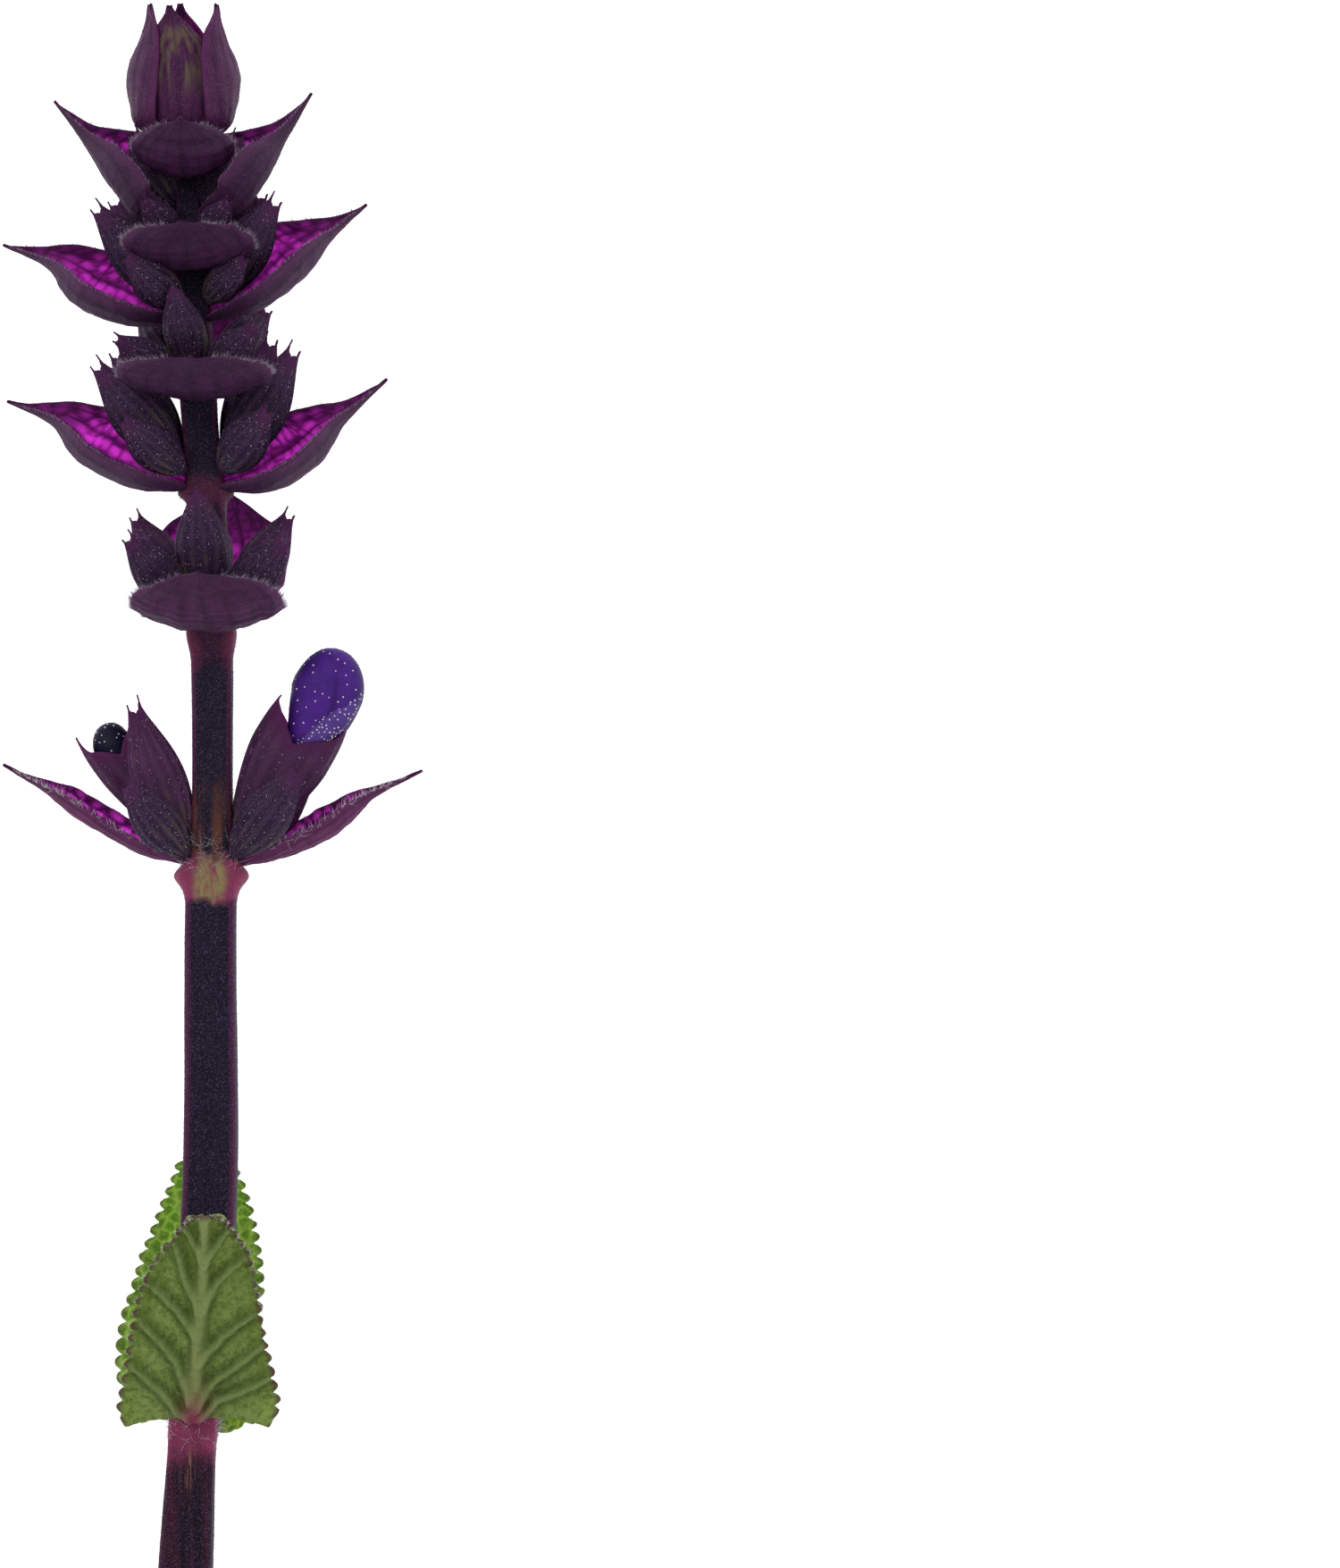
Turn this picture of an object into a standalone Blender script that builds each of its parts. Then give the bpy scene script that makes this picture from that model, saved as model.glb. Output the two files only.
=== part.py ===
"""A cut flowering stem of perennial salvia, lying on its back on a flat surface.

The stem runs along +Y and the side it shows faces +Z. Under it, the back leaf and the back
bracts are pressed flat where they meet the surface, so the stem lies level. Every leaf,
bract, calyx and flower is a piece of its own, seated 0.3 mm from what carries it.
"""
import math

import bmesh
import bpy
import numpy as np
from mathutils import Vector

# Driving dimensions. Plan places are in millimetres: X to the right of the stem's middle
# line, Y up the stem from a mark 8 mm above the cut, Z from the stem's axis to the viewer.
MM = 0.001
LIE_HEIGHT = 7.5            # stem axis above the surface
CUT_END = -8.0              # Y of the cut
STEM_TOP = 70.2             # Y where the stem ends inside the bud
BLADE_THICKNESS = 0.30      # bracts, as solids
LEAF_THICKNESS = 0.34
BEND_DEPTH = 0.5            # how gently a blade bends into the flat where it rests

# Stem: Y, X of the axis, half width. Nodes swell where the whorls sit.
STEM_COURSE = [
    (-8.0, -1.20, 1.27), (0.0, -0.97, 1.25), (5.9, -0.66, 1.10), (6.9, -0.60, 1.14),
    (8.2, -0.50, 1.12), (17.6, 0.18, 1.25), (33.0, 0.26, 1.17), (33.8, 0.26, 1.42),
    (34.5, 0.28, 1.50), (35.4, 0.30, 1.12), (37.0, 0.34, 0.96), (44.6, 0.33, 0.95),
    (46.0, 0.28, 1.12), (47.2, 0.22, 0.95), (52.0, 0.08, 0.90), (52.8, 0.04, 1.15),
    (53.8, 0.00, 0.88), (57.5, -0.34, 0.85), (61.3, -0.50, 0.74), (66.2, -0.80, 0.60),
    (68.5, -0.92, 0.50), (70.2, -1.00, 0.35),
]
STEM_SIDES = 12
STEM_ROWS = 46
STEM_SQUARENESS = 4.0       # exponent of the four-angled section
STEM_GROOVE = 0.06          # depth of the groove along each side, as a share of the half width


def blend_value(stations, values, t):
    """Reads a value at t from a few stations, with a smooth step between them."""
    for (t0, v0), (t1, v1) in zip(zip(stations, values), zip(stations[1:], values[1:])):
        if t <= t1:
            s = max(0.0, min(1.0, (t - t0) / (t1 - t0)))
            s = s * s * (3.0 - 2.0 * s)
            return v0 + (v1 - v0) * s
    return values[-1]


def smooth_path(points, t):
    """Point at t (0 to 1) on a Catmull-Rom curve through the given points."""
    pts = [Vector(p) for p in points]
    pts = [pts[0] * 2 - pts[1]] + pts + [pts[-1] * 2 - pts[-2]]
    spans = len(pts) - 3
    place = min(max(t, 0.0), 1.0) * spans
    k = min(int(place), spans - 1)
    s = place - k
    a, b, c, d = pts[k:k + 4]
    return 0.5 * ((b * 2) + (c - a) * s + (a * 2 - b * 5 + c * 4 - d) * s * s
                  + (b * 3 - a - c * 3 + d) * s ** 3)


def path_direction(points, t):
    """Unit direction of the path at t."""
    return (smooth_path(points, min(t + 0.01, 1.0)) - smooth_path(points, max(t - 0.01, 0.0))).normalized()


def stem_axis(y):
    """X of the stem's axis and its half width at height y."""
    ys = [row[0] for row in STEM_COURSE]
    x = blend_value(ys, [row[1] for row in STEM_COURSE], y)
    half = blend_value(ys, [row[2] for row in STEM_COURSE], y)
    return x, half


# An empty scene, with one empty that every piece hangs on.
for old in list(bpy.data.objects):
    bpy.data.objects.remove(old)
plant = bpy.data.objects.new("plant", None)
bpy.context.scene.collection.objects.link(plant)


def make_material(name, colour, roughness):
    material = bpy.data.materials.new(name)
    material.use_nodes = True
    shader = material.node_tree.nodes["Principled BSDF"]
    shader.inputs["Base Color"].default_value = (*colour, 1.0)
    shader.inputs["Roughness"].default_value = roughness
    shader.inputs["Metallic"].default_value = 0.0
    material.diffuse_color = (*colour, 1.0)
    return material


def add_piece(name, bm, colour, roughness=0.6):
    """Links a finished bmesh as one named object with a material of its own."""
    mesh = bpy.data.meshes.new(name)
    bm.to_mesh(mesh)
    bm.free()
    piece = bpy.data.objects.new(name, mesh)
    bpy.context.scene.collection.objects.link(piece)
    piece.parent = plant
    piece.data.materials.append(make_material(name, colour, roughness))
    mesh.shade_smooth()
    mesh.set_sharp_from_angle(angle=math.radians(50))
    return piece


def formed_grid(columns, rows, place):
    """A grid whose points go to place(u, v): u runs 0 to 1 over rows, v -1 to 1 across."""
    bm = bmesh.new()
    bmesh.ops.create_grid(bm, x_segments=columns, y_segments=rows, size=1.0)
    for vertex in bm.verts:
        u = (vertex.co.y + 1.0) / 2.0
        vertex.co = place(u, vertex.co.x) * MM
    return bm


def closed_form(sides, rows, place):
    """A body from a grid rolled into a tube: the seam and both poles are welded."""
    bm = formed_grid(sides, rows, lambda u, v: place(u, math.pi * v))
    bmesh.ops.remove_doubles(bm, verts=bm.verts, dist=1e-7)
    bmesh.ops.recalc_face_normals(bm, faces=bm.faces)
    return bm


def thicken(piece, thickness):
    """Gives a blade its thickness, half to each side."""
    wall = piece.modifiers.new("wall", "SOLIDIFY")
    wall.thickness = thickness * MM
    wall.offset = 0.0


def rest_on_surface(point, thickness):
    """Bends a blade's middle surface where it meets the surface under the plant."""
    lowest = -LIE_HEIGHT + thickness / 2.0
    above = point.z - lowest
    if above < -BEND_DEPTH:
        point.z = lowest
    elif above < BEND_DEPTH:
        point.z = lowest + (above + BEND_DEPTH) ** 2 / (4.0 * BEND_DEPTH)
    return point


def build_stem():
    """The four-angled stem with its swollen nodes, from the cut to inside the bud."""
    rows = STEM_ROWS

    def place(u, angle):
        # The first and last rows are the poles of flat end faces.
        inner = min(max((u * rows - 1.0) / (rows - 2.0), 0.0), 1.0)
        y = CUT_END + (STEM_TOP - CUT_END) * inner
        x, half = stem_axis(y)
        if u < 0.5 / rows or u > 1.0 - 0.5 / rows:
            return Vector((x, y, 0.0))
        c, s = math.cos(angle), math.sin(angle)
        reach = (abs(c) ** STEM_SQUARENESS + abs(s) ** STEM_SQUARENESS) ** (-1.0 / STEM_SQUARENESS)
        reach *= half * (1.0 - STEM_GROOVE * math.cos(4.0 * angle)) / (1.0 - STEM_GROOVE)
        return Vector((x + reach * c, y, reach * s))

    add_piece("stem", closed_form(STEM_SIDES, rows, place), (0.035, 0.015, 0.04), 0.7)


# Bract outlines: how wide the blade is along its length, as a share of its half width.
# The side bracts taper to a long tip, and the front and back ones are broad bowls.
BRACT_ALONG = (0.0, 0.10, 0.25, 0.42, 0.58, 0.72, 0.84, 1.0)
TAPERED_WIDTH = (0.26, 0.60, 0.93, 1.00, 0.94, 0.68, 0.33, 0.05)
BOWL_WIDTH = (0.24, 0.64, 0.94, 1.00, 0.95, 0.78, 0.52, 0.08)
TAPERED_FOLD = 65.0         # degrees from the midrib to a margin, round the keel
BOWL_FOLD = 74.0
BRACT_COLOUR = (0.09, 0.02, 0.09)


def build_bract(name, keel, near, half_width, depth, roll, fold, widths):
    """A boat-shaped bract: keel is its midrib, near is the way its near margin points."""
    near = Vector(near)
    spread = math.radians(fold)
    turn = math.radians(roll)

    def place(u, v):
        spine = smooth_path(keel, u)
        along = path_direction(keel, u)
        side = (near - along * near.dot(along)).normalized()
        inner = side.cross(along)
        if inner.y < 0.0:
            inner = -inner
        side, inner = (side * math.cos(turn) - inner * math.sin(turn),
                       inner * math.cos(turn) + side * math.sin(turn))
        width = blend_value(BRACT_ALONG, widths, u)
        across = half_width * width * math.sin(v * spread) / math.sin(spread)
        lift = depth * width * (1.0 - math.cos(v * spread)) / (1.0 - math.cos(spread))
        return rest_on_surface(spine + side * across + inner * lift, BLADE_THICKNESS)

    piece = add_piece(name, formed_grid(6, 9, place), BRACT_COLOUR, 0.55)
    thicken(piece, BLADE_THICKNESS)


# Side bracts, whorls 1, 3, 5 and 7: the midrib as a few plan points, then width and depth.
SIDE_BRACTS = {
    "bract_1_left": ([(-1.55, 34.9), (-3.6, 35.3), (-6.2, 36.9), (-8.2, 38.4),
                      (-10.0, 39.5)], 1.35, 1.35, 8),
    "bract_1_right": ([(2.15, 34.8), (4.2, 35.2), (6.6, 36.3), (8.3, 37.9), (10.7, 39.2)], 1.35, 1.45, 8),
    "bract_3_left": ([(-1.55, 53.2), (-3.6, 53.5), (-5.9, 54.6), (-7.4, 56.3), (-9.8, 57.4)], 3.1, 2.2, 26),
    "bract_3_right": ([(1.65, 53.2), (3.6, 53.4), (5.5, 54.6), (6.8, 56.4), (9.0, 58.5)], 3.1, 2.2, 26),
    "bract_5_left": ([(-1.55, 61.5), (-3.7, 61.4), (-6.2, 62.4), (-7.6, 64.0),
                      (-10.0, 65.1)], 3.2, 2.35, 26),
    "bract_5_right": ([(0.6, 61.5), (2.7, 62.2), (4.8, 63.8), (6.2, 65.5), (8.0, 67.1)], 3.1, 2.2, 26),
    "bract_7_left": ([(-1.75, 66.3), (-3.3, 66.6), (-4.6, 68.2), (-5.8, 70.0), (-7.5, 72.2)], 2.4, 2.0, 18),
    "bract_7_right": ([(0.15, 66.3), (1.6, 66.8), (2.9, 68.4), (3.9, 70.2), (5.3, 72.6)], 2.4, 2.0, 18),
}

# Front and back bracts, whorls 2, 4, 6 and 8: the midrib as X, Y, Z points.
ACROSS_BRACTS = {
    "bract_2_front": ([(0.3, 46.1, 1.45), (0.35, 46.1, 3.2), (0.3, 46.65, 5.2),
                       (0.2, 47.6, 6.8), (0.1, 48.8, 8.2)], 3.7, 1.05),
    "bract_2_back": ([(0.25, 46.5, -1.45), (0.3, 47.4, -3.9), (0.4, 49.2, -6.7),
                      (0.5, 51.3, -8.6), (0.6, 53.4, -8.9)], 3.4, 1.1),
    "bract_4_front": ([(-0.35, 57.5, 1.25), (-0.3, 57.5, 3.0), (-0.35, 57.85, 4.8),
                       (-0.4, 58.5, 6.4), (-0.4, 59.2, 7.8)], 3.75, 1.0),
    "bract_4_back": ([(-0.35, 57.9, -1.25), (-0.3, 58.6, -3.7), (-0.2, 60.0, -6.5),
                      (-0.1, 61.6, -8.5), (0.0, 62.9, -8.8)], 2.7, 1.1),
    "bract_6_front": ([(-0.7, 63.9, 1.05), (-0.65, 63.85, 2.6), (-0.65, 64.25, 4.2),
                       (-0.7, 65.0, 5.6), (-0.8, 65.8, 6.9)], 3.2, 0.95),
    "bract_6_back": ([(-0.7, 64.2, -1.05), (-0.7, 64.8, -3.1), (-0.7, 65.9, -5.6),
                      (-0.7, 67.1, -7.9), (-0.7, 68.4, -8.6)], 3.0, 1.1),
    "bract_8_front": ([(-0.95, 68.7, 0.9), (-0.95, 68.4, 2.3), (-0.95, 69.0, 3.5),
                       (-0.95, 69.95, 4.3), (-0.95, 71.0, 4.9)], 2.5, 1.15),
    "bract_8_back": ([(-0.95, 68.9, -0.9), (-1.0, 68.9, -2.3), (-1.0, 69.2, -3.6),
                      (-1.0, 70.3, -4.6), (-1.0, 71.6, -5.4)], 1.8, 1.2),
}


def build_bracts():
    """Eight pairs of bracts, each pair turned a quarter from the one below."""
    for name, (keel, half_width, depth, roll) in SIDE_BRACTS.items():
        spine = [(x, y, 0.0) for x, y in keel]
        build_bract(name, spine, (0, 0, 1), half_width, depth, roll, TAPERED_FOLD, TAPERED_WIDTH)
    for name, (keel, half_width, depth) in ACROSS_BRACTS.items():
        build_bract(name, keel, (1, 0, 0), half_width, depth, 0.0, BOWL_FOLD, BOWL_WIDTH)


# Calyx outline along its length, as a share of its half width.
CALYX_ALONG = (0.0, 0.12, 0.30, 0.52, 0.72, 0.88, 1.0)
CALYX_WIDTH = (0.22, 0.50, 0.86, 1.00, 0.86, 0.46, 0.05)

# Calyces: foot and tip as X, Y, Z, then half width and half thickness.
CALYCES = {
    "calyx_1_left_top": ((-1.15, 35.8, 0.35), (-4.05, 42.7, 1.0), 1.25, 0.80),
    "calyx_1_left_front": ((-1.05, 35.5, 1.35), (-4.0, 38.9, 3.0), 1.15, 0.78),
    "calyx_1_right_front": ((1.7, 35.5, 1.35), (5.1, 39.5, 3.0), 1.20, 0.78),
    "calyx_1_right_low": ((1.95, 35.9, -1.2), (5.5, 38.8, -1.7), 0.85, 0.60),
    "calyx_2_front_middle": ((0.2, 47.6, 1.5), (-0.3, 53.1, 3.4), 1.20, 0.85),
    "calyx_2_front_left": ((-0.7, 47.4, 1.5), (-3.9, 50.6, 3.9), 1.05, 0.80),
    "calyx_2_front_right": ((1.1, 47.4, 1.5), (4.4, 50.5, 3.9), 1.10, 0.80),
    "calyx_2_back_left": ((-1.1, 47.6, -0.8), (-3.95, 51.8, -2.0), 1.05, 0.80),
    "calyx_2_back_right": ((1.5, 47.6, -0.8), (4.35, 51.9, -2.0), 1.10, 0.80),
    "calyx_2_back_middle": ((0.2, 47.8, -1.5), (0.2, 52.6, -3.8), 1.00, 0.80),
    "calyx_3_left_top": ((-1.25, 54.6, -0.3), (-4.9, 59.85, -0.9), 1.25, 0.75),
    "calyx_3_left_outer": ((-1.3, 54.4, 0.8), (-5.7, 59.1, 1.6), 1.15, 0.70),
    "calyx_3_left_front": ((-1.1, 54.2, 1.4), (-4.1, 56.3, 4.0), 1.00, 0.80),
    "calyx_3_right_top": ((1.05, 54.6, -0.3), (3.45, 60.5, -0.9), 1.25, 0.75),
    "calyx_3_right_outer": ((1.1, 54.4, 0.8), (4.85, 59.9, 1.6), 1.25, 0.70),
    "calyx_3_right_front": ((0.9, 54.2, 1.4), (3.5, 56.8, 4.0), 1.05, 0.80),
    "calyx_4_front_middle": ((-0.4, 59.0, 1.35), (-1.5, 63.0, 3.2), 0.95, 0.75),
    "calyx_4_front_left": ((-1.2, 58.8, 1.3), (-4.4, 60.2, 3.8), 0.85, 0.75),
    "calyx_4_front_right": ((0.4, 58.8, 1.3), (2.8, 60.9, 3.8), 0.95, 0.75),
    "calyx_4_back_left": ((-1.3, 59.0, -0.8), (-3.6, 61.9, -2.7), 0.90, 0.75),
    "calyx_4_back_right": ((0.5, 59.0, -0.8), (3.2, 62.0, -2.7), 0.95, 0.75),
    "calyx_5_left_top": ((-1.35, 62.5, -0.3), (-4.9, 67.4, -0.8), 1.30, 0.70),
    "calyx_5_left_outer": ((-1.35, 62.4, 0.7), (-5.7, 66.8, 1.5), 1.10, 0.65),
    "calyx_5_left_front": ((-1.2, 62.2, 1.2), (-3.9, 63.8, 3.2), 0.85, 0.65),
    "calyx_5_right_top": ((0.35, 62.6, -0.3), (3.1, 67.8, -0.8), 1.30, 0.70),
    "calyx_5_right_outer": ((0.35, 62.5, 0.7), (3.9, 67.2, 1.5), 1.10, 0.65),
    "calyx_5_right_front": ((0.1, 62.6, 1.2), (1.9, 63.9, 4.0), 0.70, 0.60),
    "calyx_6_front_left": ((-1.1, 65.1, 1.3), (-3.0, 66.9, 4.3), 0.75, 0.60),
    "calyx_6_front_right": ((-0.3, 65.1, 1.3), (1.5, 66.9, 4.2), 0.75, 0.60),
    "calyx_7_left": ((-1.75, 67.2, 0.0), (-3.9, 70.6, 0.5), 1.00, 0.70),
    "calyx_7_right": ((0.15, 67.2, 0.0), (1.95, 70.5, 0.5), 1.00, 0.70),
}

# The two calyces that hold a flower: foot, middle of the mouth, half width, half thickness.
OPEN_CALYCES = {
    "calyx_1_left_outer": ((-1.35, 36.1, -0.9), (-4.4, 40.3, -1.8), 1.50, 1.05),
    "calyx_1_right_top": ((1.75, 36.2, 0.3), (4.8, 41.2, 0.4), 1.85, 1.10),
}
CALYX_WALL = 0.28
OPEN_ALONG = (0.0, 0.15, 0.40, 0.75, 1.0)
OPEN_WIDTH = (0.20, 0.48, 0.82, 1.00, 0.96)
OPEN_FLOOR = 0.22           # where the hollow starts, as a share of the length
LIP_START = 0.7             # where the two lips start to part
LIP_REACH = 0.8             # how far the lips stand past the mouth's sides

# Their flowers: a path up the middle, half width, half thickness.
COROLLA_ALONG = (0.0, 0.25, 0.45, 0.70, 0.90, 1.0)
COROLLA_WIDTH = (0.22, 0.38, 0.70, 1.00, 0.72, 0.30)
COROLLAS = {
    "corolla_left": ([(-3.1, 38.2, -1.4), (-4.1, 39.4, -1.7), (-4.9, 41.0, -1.95)], 0.90, 0.55),
    "corolla_right": ([(3.3, 38.6, 0.32), (5.0, 41.0, 0.4), (6.0, 43.2, 0.4), (6.35, 45.3, 0.4)], 1.75, 1.15),
}


def axis_frame(foot, tip):
    """Unit axis, width direction in the plan's plane, and thickness direction."""
    along = (tip - foot).normalized()
    wide = along.cross(Vector((0.0, 0.0, 1.0)))
    wide = wide.normalized() if wide.length > 0.2 else Vector((1.0, 0.0, 0.0))
    return along, wide, wide.cross(along)


def build_calyx(name, foot, tip, half_width, half_thickness):
    """A shut calyx: an oval pod that narrows to its awned lips."""
    foot, tip = Vector(foot), Vector(tip)
    along, wide, thick = axis_frame(foot, tip)
    length = (tip - foot).length

    def place(u, angle):
        share = blend_value(CALYX_ALONG, CALYX_WIDTH, u) if 0.01 < u < 0.99 else 0.0
        centre = foot + along * (length * u)
        return centre + wide * (half_width * share * math.cos(angle)) \
            + thick * (half_thickness * share * math.sin(angle))

    add_piece(name, closed_form(8, 8, place), (0.04, 0.02, 0.05), 0.6)


def build_open_calyx(name, foot, mouth, half_width, half_thickness):
    """A calyx with its mouth open round a flower: one wall, folded in at the mouth."""
    foot, mouth = Vector(foot), Vector(mouth)
    along, wide, thick = axis_frame(foot, mouth)
    length = (mouth - foot).length

    def place(u, angle):
        outside = u <= 0.5
        climb = u * 2.0 if outside else (1.0 - u) * 2.0
        climb = min(climb, 1.0)
        depth = climb if outside else OPEN_FLOOR + (1.0 - OPEN_FLOOR) * climb
        share = blend_value(OPEN_ALONG, OPEN_WIDTH, depth)
        wall = 0.0 if outside else CALYX_WALL
        wide_reach = half_width * share - wall
        thick_reach = half_thickness * share - wall
        if u < 0.01 or u > 0.99:
            wide_reach = thick_reach = 0.0
        lip = LIP_REACH * abs(math.cos(angle)) * max(0.0, depth - LIP_START) / (1.0 - LIP_START)
        return foot + along * (length * depth + lip) + wide * (wide_reach * math.cos(angle)) \
            + thick * (thick_reach * math.sin(angle))

    add_piece(name, closed_form(12, 14, place), (0.06, 0.02, 0.06), 0.6)


def build_corolla(name, path, half_width, half_thickness):
    """A flower still in bud: a narrow tube that swells into its closed hood."""

    def place(u, angle):
        share = blend_value(COROLLA_ALONG, COROLLA_WIDTH, u) if 0.01 < u < 0.99 else 0.0
        centre = smooth_path(path, u)
        along = path_direction(path, u)
        wide = along.cross(Vector((0.0, 0.0, 1.0))).normalized()
        thick = wide.cross(along)
        return centre + wide * (half_width * share * math.cos(angle)) \
            + thick * (half_thickness * share * math.sin(angle))

    add_piece(name, closed_form(12, 10, place), (0.07, 0.02, 0.26), 0.45)


def build_flowers():
    """All the calyces, and the two flowers that show."""
    for name, form in CALYCES.items():
        build_calyx(name, *form)
    for name, form in OPEN_CALYCES.items():
        build_open_calyx(name, *form)
    for name, form in COROLLAS.items():
        build_corolla(name, *form)


# Bud at the top: two pairs of young bracts, shut round a core.
BUD_AXIS = -1.08            # X of the bud's axis
BUD_FOOT = 70.5             # Y where the young bracts start
BUD_ALONG = (0.0, 0.10, 0.25, 0.42, 0.55, 0.70, 0.82, 0.91, 1.0)
# How far from the axis, as a share of the widest, and how wide, as a share of the half span.
BUD_PAIRS = {
    "outer": ((0.64, 0.84, 0.95, 1.00, 0.94, 0.78, 0.67, 0.61, 0.58),
              (0.80, 0.95, 1.03, 1.08, 1.06, 0.96, 0.76, 0.48, 0.12)),
    "inner": ((0.66, 0.86, 0.96, 1.00, 0.92, 0.72, 0.52, 0.38, 0.26),
              (0.80, 0.92, 1.00, 1.00, 0.85, 0.66, 0.50, 0.34, 0.12)),
}
# Compass angle round the axis, lean of the tip to the side, Y of the tip, widest reach, half span.
BUD_BRACTS = {
    "bud_bract_left": ("outer", 180.0, 0.0, 76.9, 2.68, 60.0),
    "bud_bract_right": ("outer", 0.0, 0.0, 76.9, 2.68, 60.0),
    "bud_bract_front": ("inner", 90.0, -0.60, 76.8, 2.12, 60.0),
    "bud_bract_back": ("inner", 270.0, -0.20, 77.0, 2.12, 60.0),
}
BUD_CORE = (1.20, 4.0)      # radius and length of the core


def build_bud():
    """Young bracts: each stands at its own compass angle round the bud's axis."""
    for name, (pair, compass, lean, top, widest, span) in BUD_BRACTS.items():
        reaches, spans = BUD_PAIRS[pair]

        def place(u, v):
            reach = widest * blend_value(BUD_ALONG, reaches, u)
            turn = math.radians(compass + v * span * blend_value(BUD_ALONG, spans, u))
            x = BUD_AXIS + lean * u * u + reach * math.cos(turn)
            return Vector((x, BUD_FOOT + (top - BUD_FOOT) * u, reach * math.sin(turn)))

        piece = add_piece(name, formed_grid(8, 10, place), (0.10, 0.03, 0.08), 0.55)
        thicken(piece, BLADE_THICKNESS)

    def core(u, angle):
        radius, length = BUD_CORE
        reach = radius * math.sin(math.pi * u) ** 0.8 if 0.01 < u < 0.99 else 0.0
        return Vector((BUD_AXIS + reach * math.cos(angle), BUD_FOOT + length * u, reach * math.sin(angle)))

    add_piece("bud_core", closed_form(10, 8, core), (0.12, 0.10, 0.04), 0.6)


# Leaves: triangular blades, widest near the base, with two round lobes beside the stalk's seat.
# Each row is a share of the midrib's rise, then the reach to the left and to the right margin.
LEAF_MARGINS = {
    "leaf_front": [(0.0, 3.3, 3.6), (0.10, 3.75, 4.1), (0.26, 3.5, 3.75), (0.45, 3.3, 3.1), (0.64, 2.9, 2.55),
                   (0.78, 2.2, 2.1), (0.90, 1.45, 1.5), (0.96, 0.95, 1.1), (1.0, 0.35, 0.4)],
    "leaf_back": [(0.0, 3.3, 3.1), (0.10, 3.75, 3.3), (0.24, 3.9, 3.2), (0.38, 3.75, 3.0), (0.52, 3.3, 2.95),
                  (0.70, 2.6, 2.5), (0.82, 2.2, 2.05), (0.93, 1.5, 1.4), (1.0, 0.35, 0.35)],
}
LEAF_SPINES = {
    "leaf_front": [(-0.5, 7.1, 1.6), (-0.3, 10.4, 2.5), (0.0, 13.4, 3.7), (0.2, 16.0, 5.2), (0.3, 17.5, 6.6)],
    "leaf_back": [(-0.65, 7.05, -1.6), (-0.57, 10.6, -4.2), (-0.47, 14.1, -7.1), (-0.33, 17.2, -8.6),
                  (-0.25, 20.0, -9.4)],
}
LEAF_CUPS = {"leaf_front": -0.8, "leaf_back": 0.7}
LEAF_LOBE = 0.5             # how far the lobes reach below the stalk's seat


def build_leaf(name):
    """A leaf blade on its midrib: the cup lifts its margins, and the lobe draws its base down."""
    spine = LEAF_SPINES[name]
    margins = LEAF_MARGINS[name]
    steps = [row[0] for row in margins]
    foot, top = spine[0][1], spine[-1][1]
    widest = max(margins[1][1:])

    def place(u, v):
        middle = smooth_path(spine, u)
        along = path_direction(spine, u)
        side = Vector((1.0, 0.0, 0.0))
        lift = side.cross(along)
        share = (middle.y - foot) / (top - foot)
        reach = blend_value(steps, [row[1 if v < 0.0 else 2] for row in margins], share)
        drop = LEAF_LOBE * math.sin(math.pi * min(abs(v), 1.0)) * max(0.0, 1.0 - u * 5.0)
        cup = LEAF_CUPS[name] * reach / widest * v * v
        point = middle + side * (reach * v) + lift * cup - along * drop
        return rest_on_surface(point, LEAF_THICKNESS)

    piece = add_piece(name, formed_grid(10, 14, place), (0.12, 0.25, 0.05), 0.6)
    thicken(piece, LEAF_THICKNESS)


def build_leaves():
    """The pair of leaves below the flowers, one in front of the stem and one behind."""
    for name in LEAF_SPINES:
        build_leaf(name)


def centre_on_surface():
    """Moves the plant so that the origin lies under its middle, on the surface."""
    bpy.context.view_layer.update()
    depsgraph = bpy.context.evaluated_depsgraph_get()
    corners = []
    for piece in plant.children:
        shape = piece.evaluated_get(depsgraph).to_mesh()
        points = np.empty(len(shape.vertices) * 3)
        shape.vertices.foreach_get("co", points)
        points = points.reshape(-1, 3)
        corners += [points.min(axis=0), points.max(axis=0)]
    low = np.min(corners, axis=0)
    high = np.max(corners, axis=0)
    plant.location = (-(low[0] + high[0]) / 2.0, -(low[1] + high[1]) / 2.0, -low[2])
    print("plan shift in mm", [round(value / MM, 4) for value in plant.location])


def main():
    """Builds every piece, then lays the plant on its surface."""
    build_stem()
    build_bracts()
    build_flowers()
    build_bud()
    build_leaves()
    centre_on_surface()


main()
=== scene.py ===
import math

import bmesh
import bpy
import numpy as np
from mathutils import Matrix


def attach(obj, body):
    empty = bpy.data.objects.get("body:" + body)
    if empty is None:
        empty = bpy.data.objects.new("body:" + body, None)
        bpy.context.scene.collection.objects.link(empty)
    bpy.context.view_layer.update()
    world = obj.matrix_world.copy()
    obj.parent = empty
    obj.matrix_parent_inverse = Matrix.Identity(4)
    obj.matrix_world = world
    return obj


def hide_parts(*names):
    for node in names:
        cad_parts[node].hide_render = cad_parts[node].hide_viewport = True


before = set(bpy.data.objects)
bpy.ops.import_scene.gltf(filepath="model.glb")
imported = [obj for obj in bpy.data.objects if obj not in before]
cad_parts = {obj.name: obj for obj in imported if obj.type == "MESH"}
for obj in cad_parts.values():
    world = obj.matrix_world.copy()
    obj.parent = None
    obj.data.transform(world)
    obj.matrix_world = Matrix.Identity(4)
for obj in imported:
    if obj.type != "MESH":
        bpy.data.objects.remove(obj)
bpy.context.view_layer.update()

mm = 0.001
planOrigin = np.array([0.3452, 34.5298, -7.5])    # the frame's origin, in the plant's own plan, in mm
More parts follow.
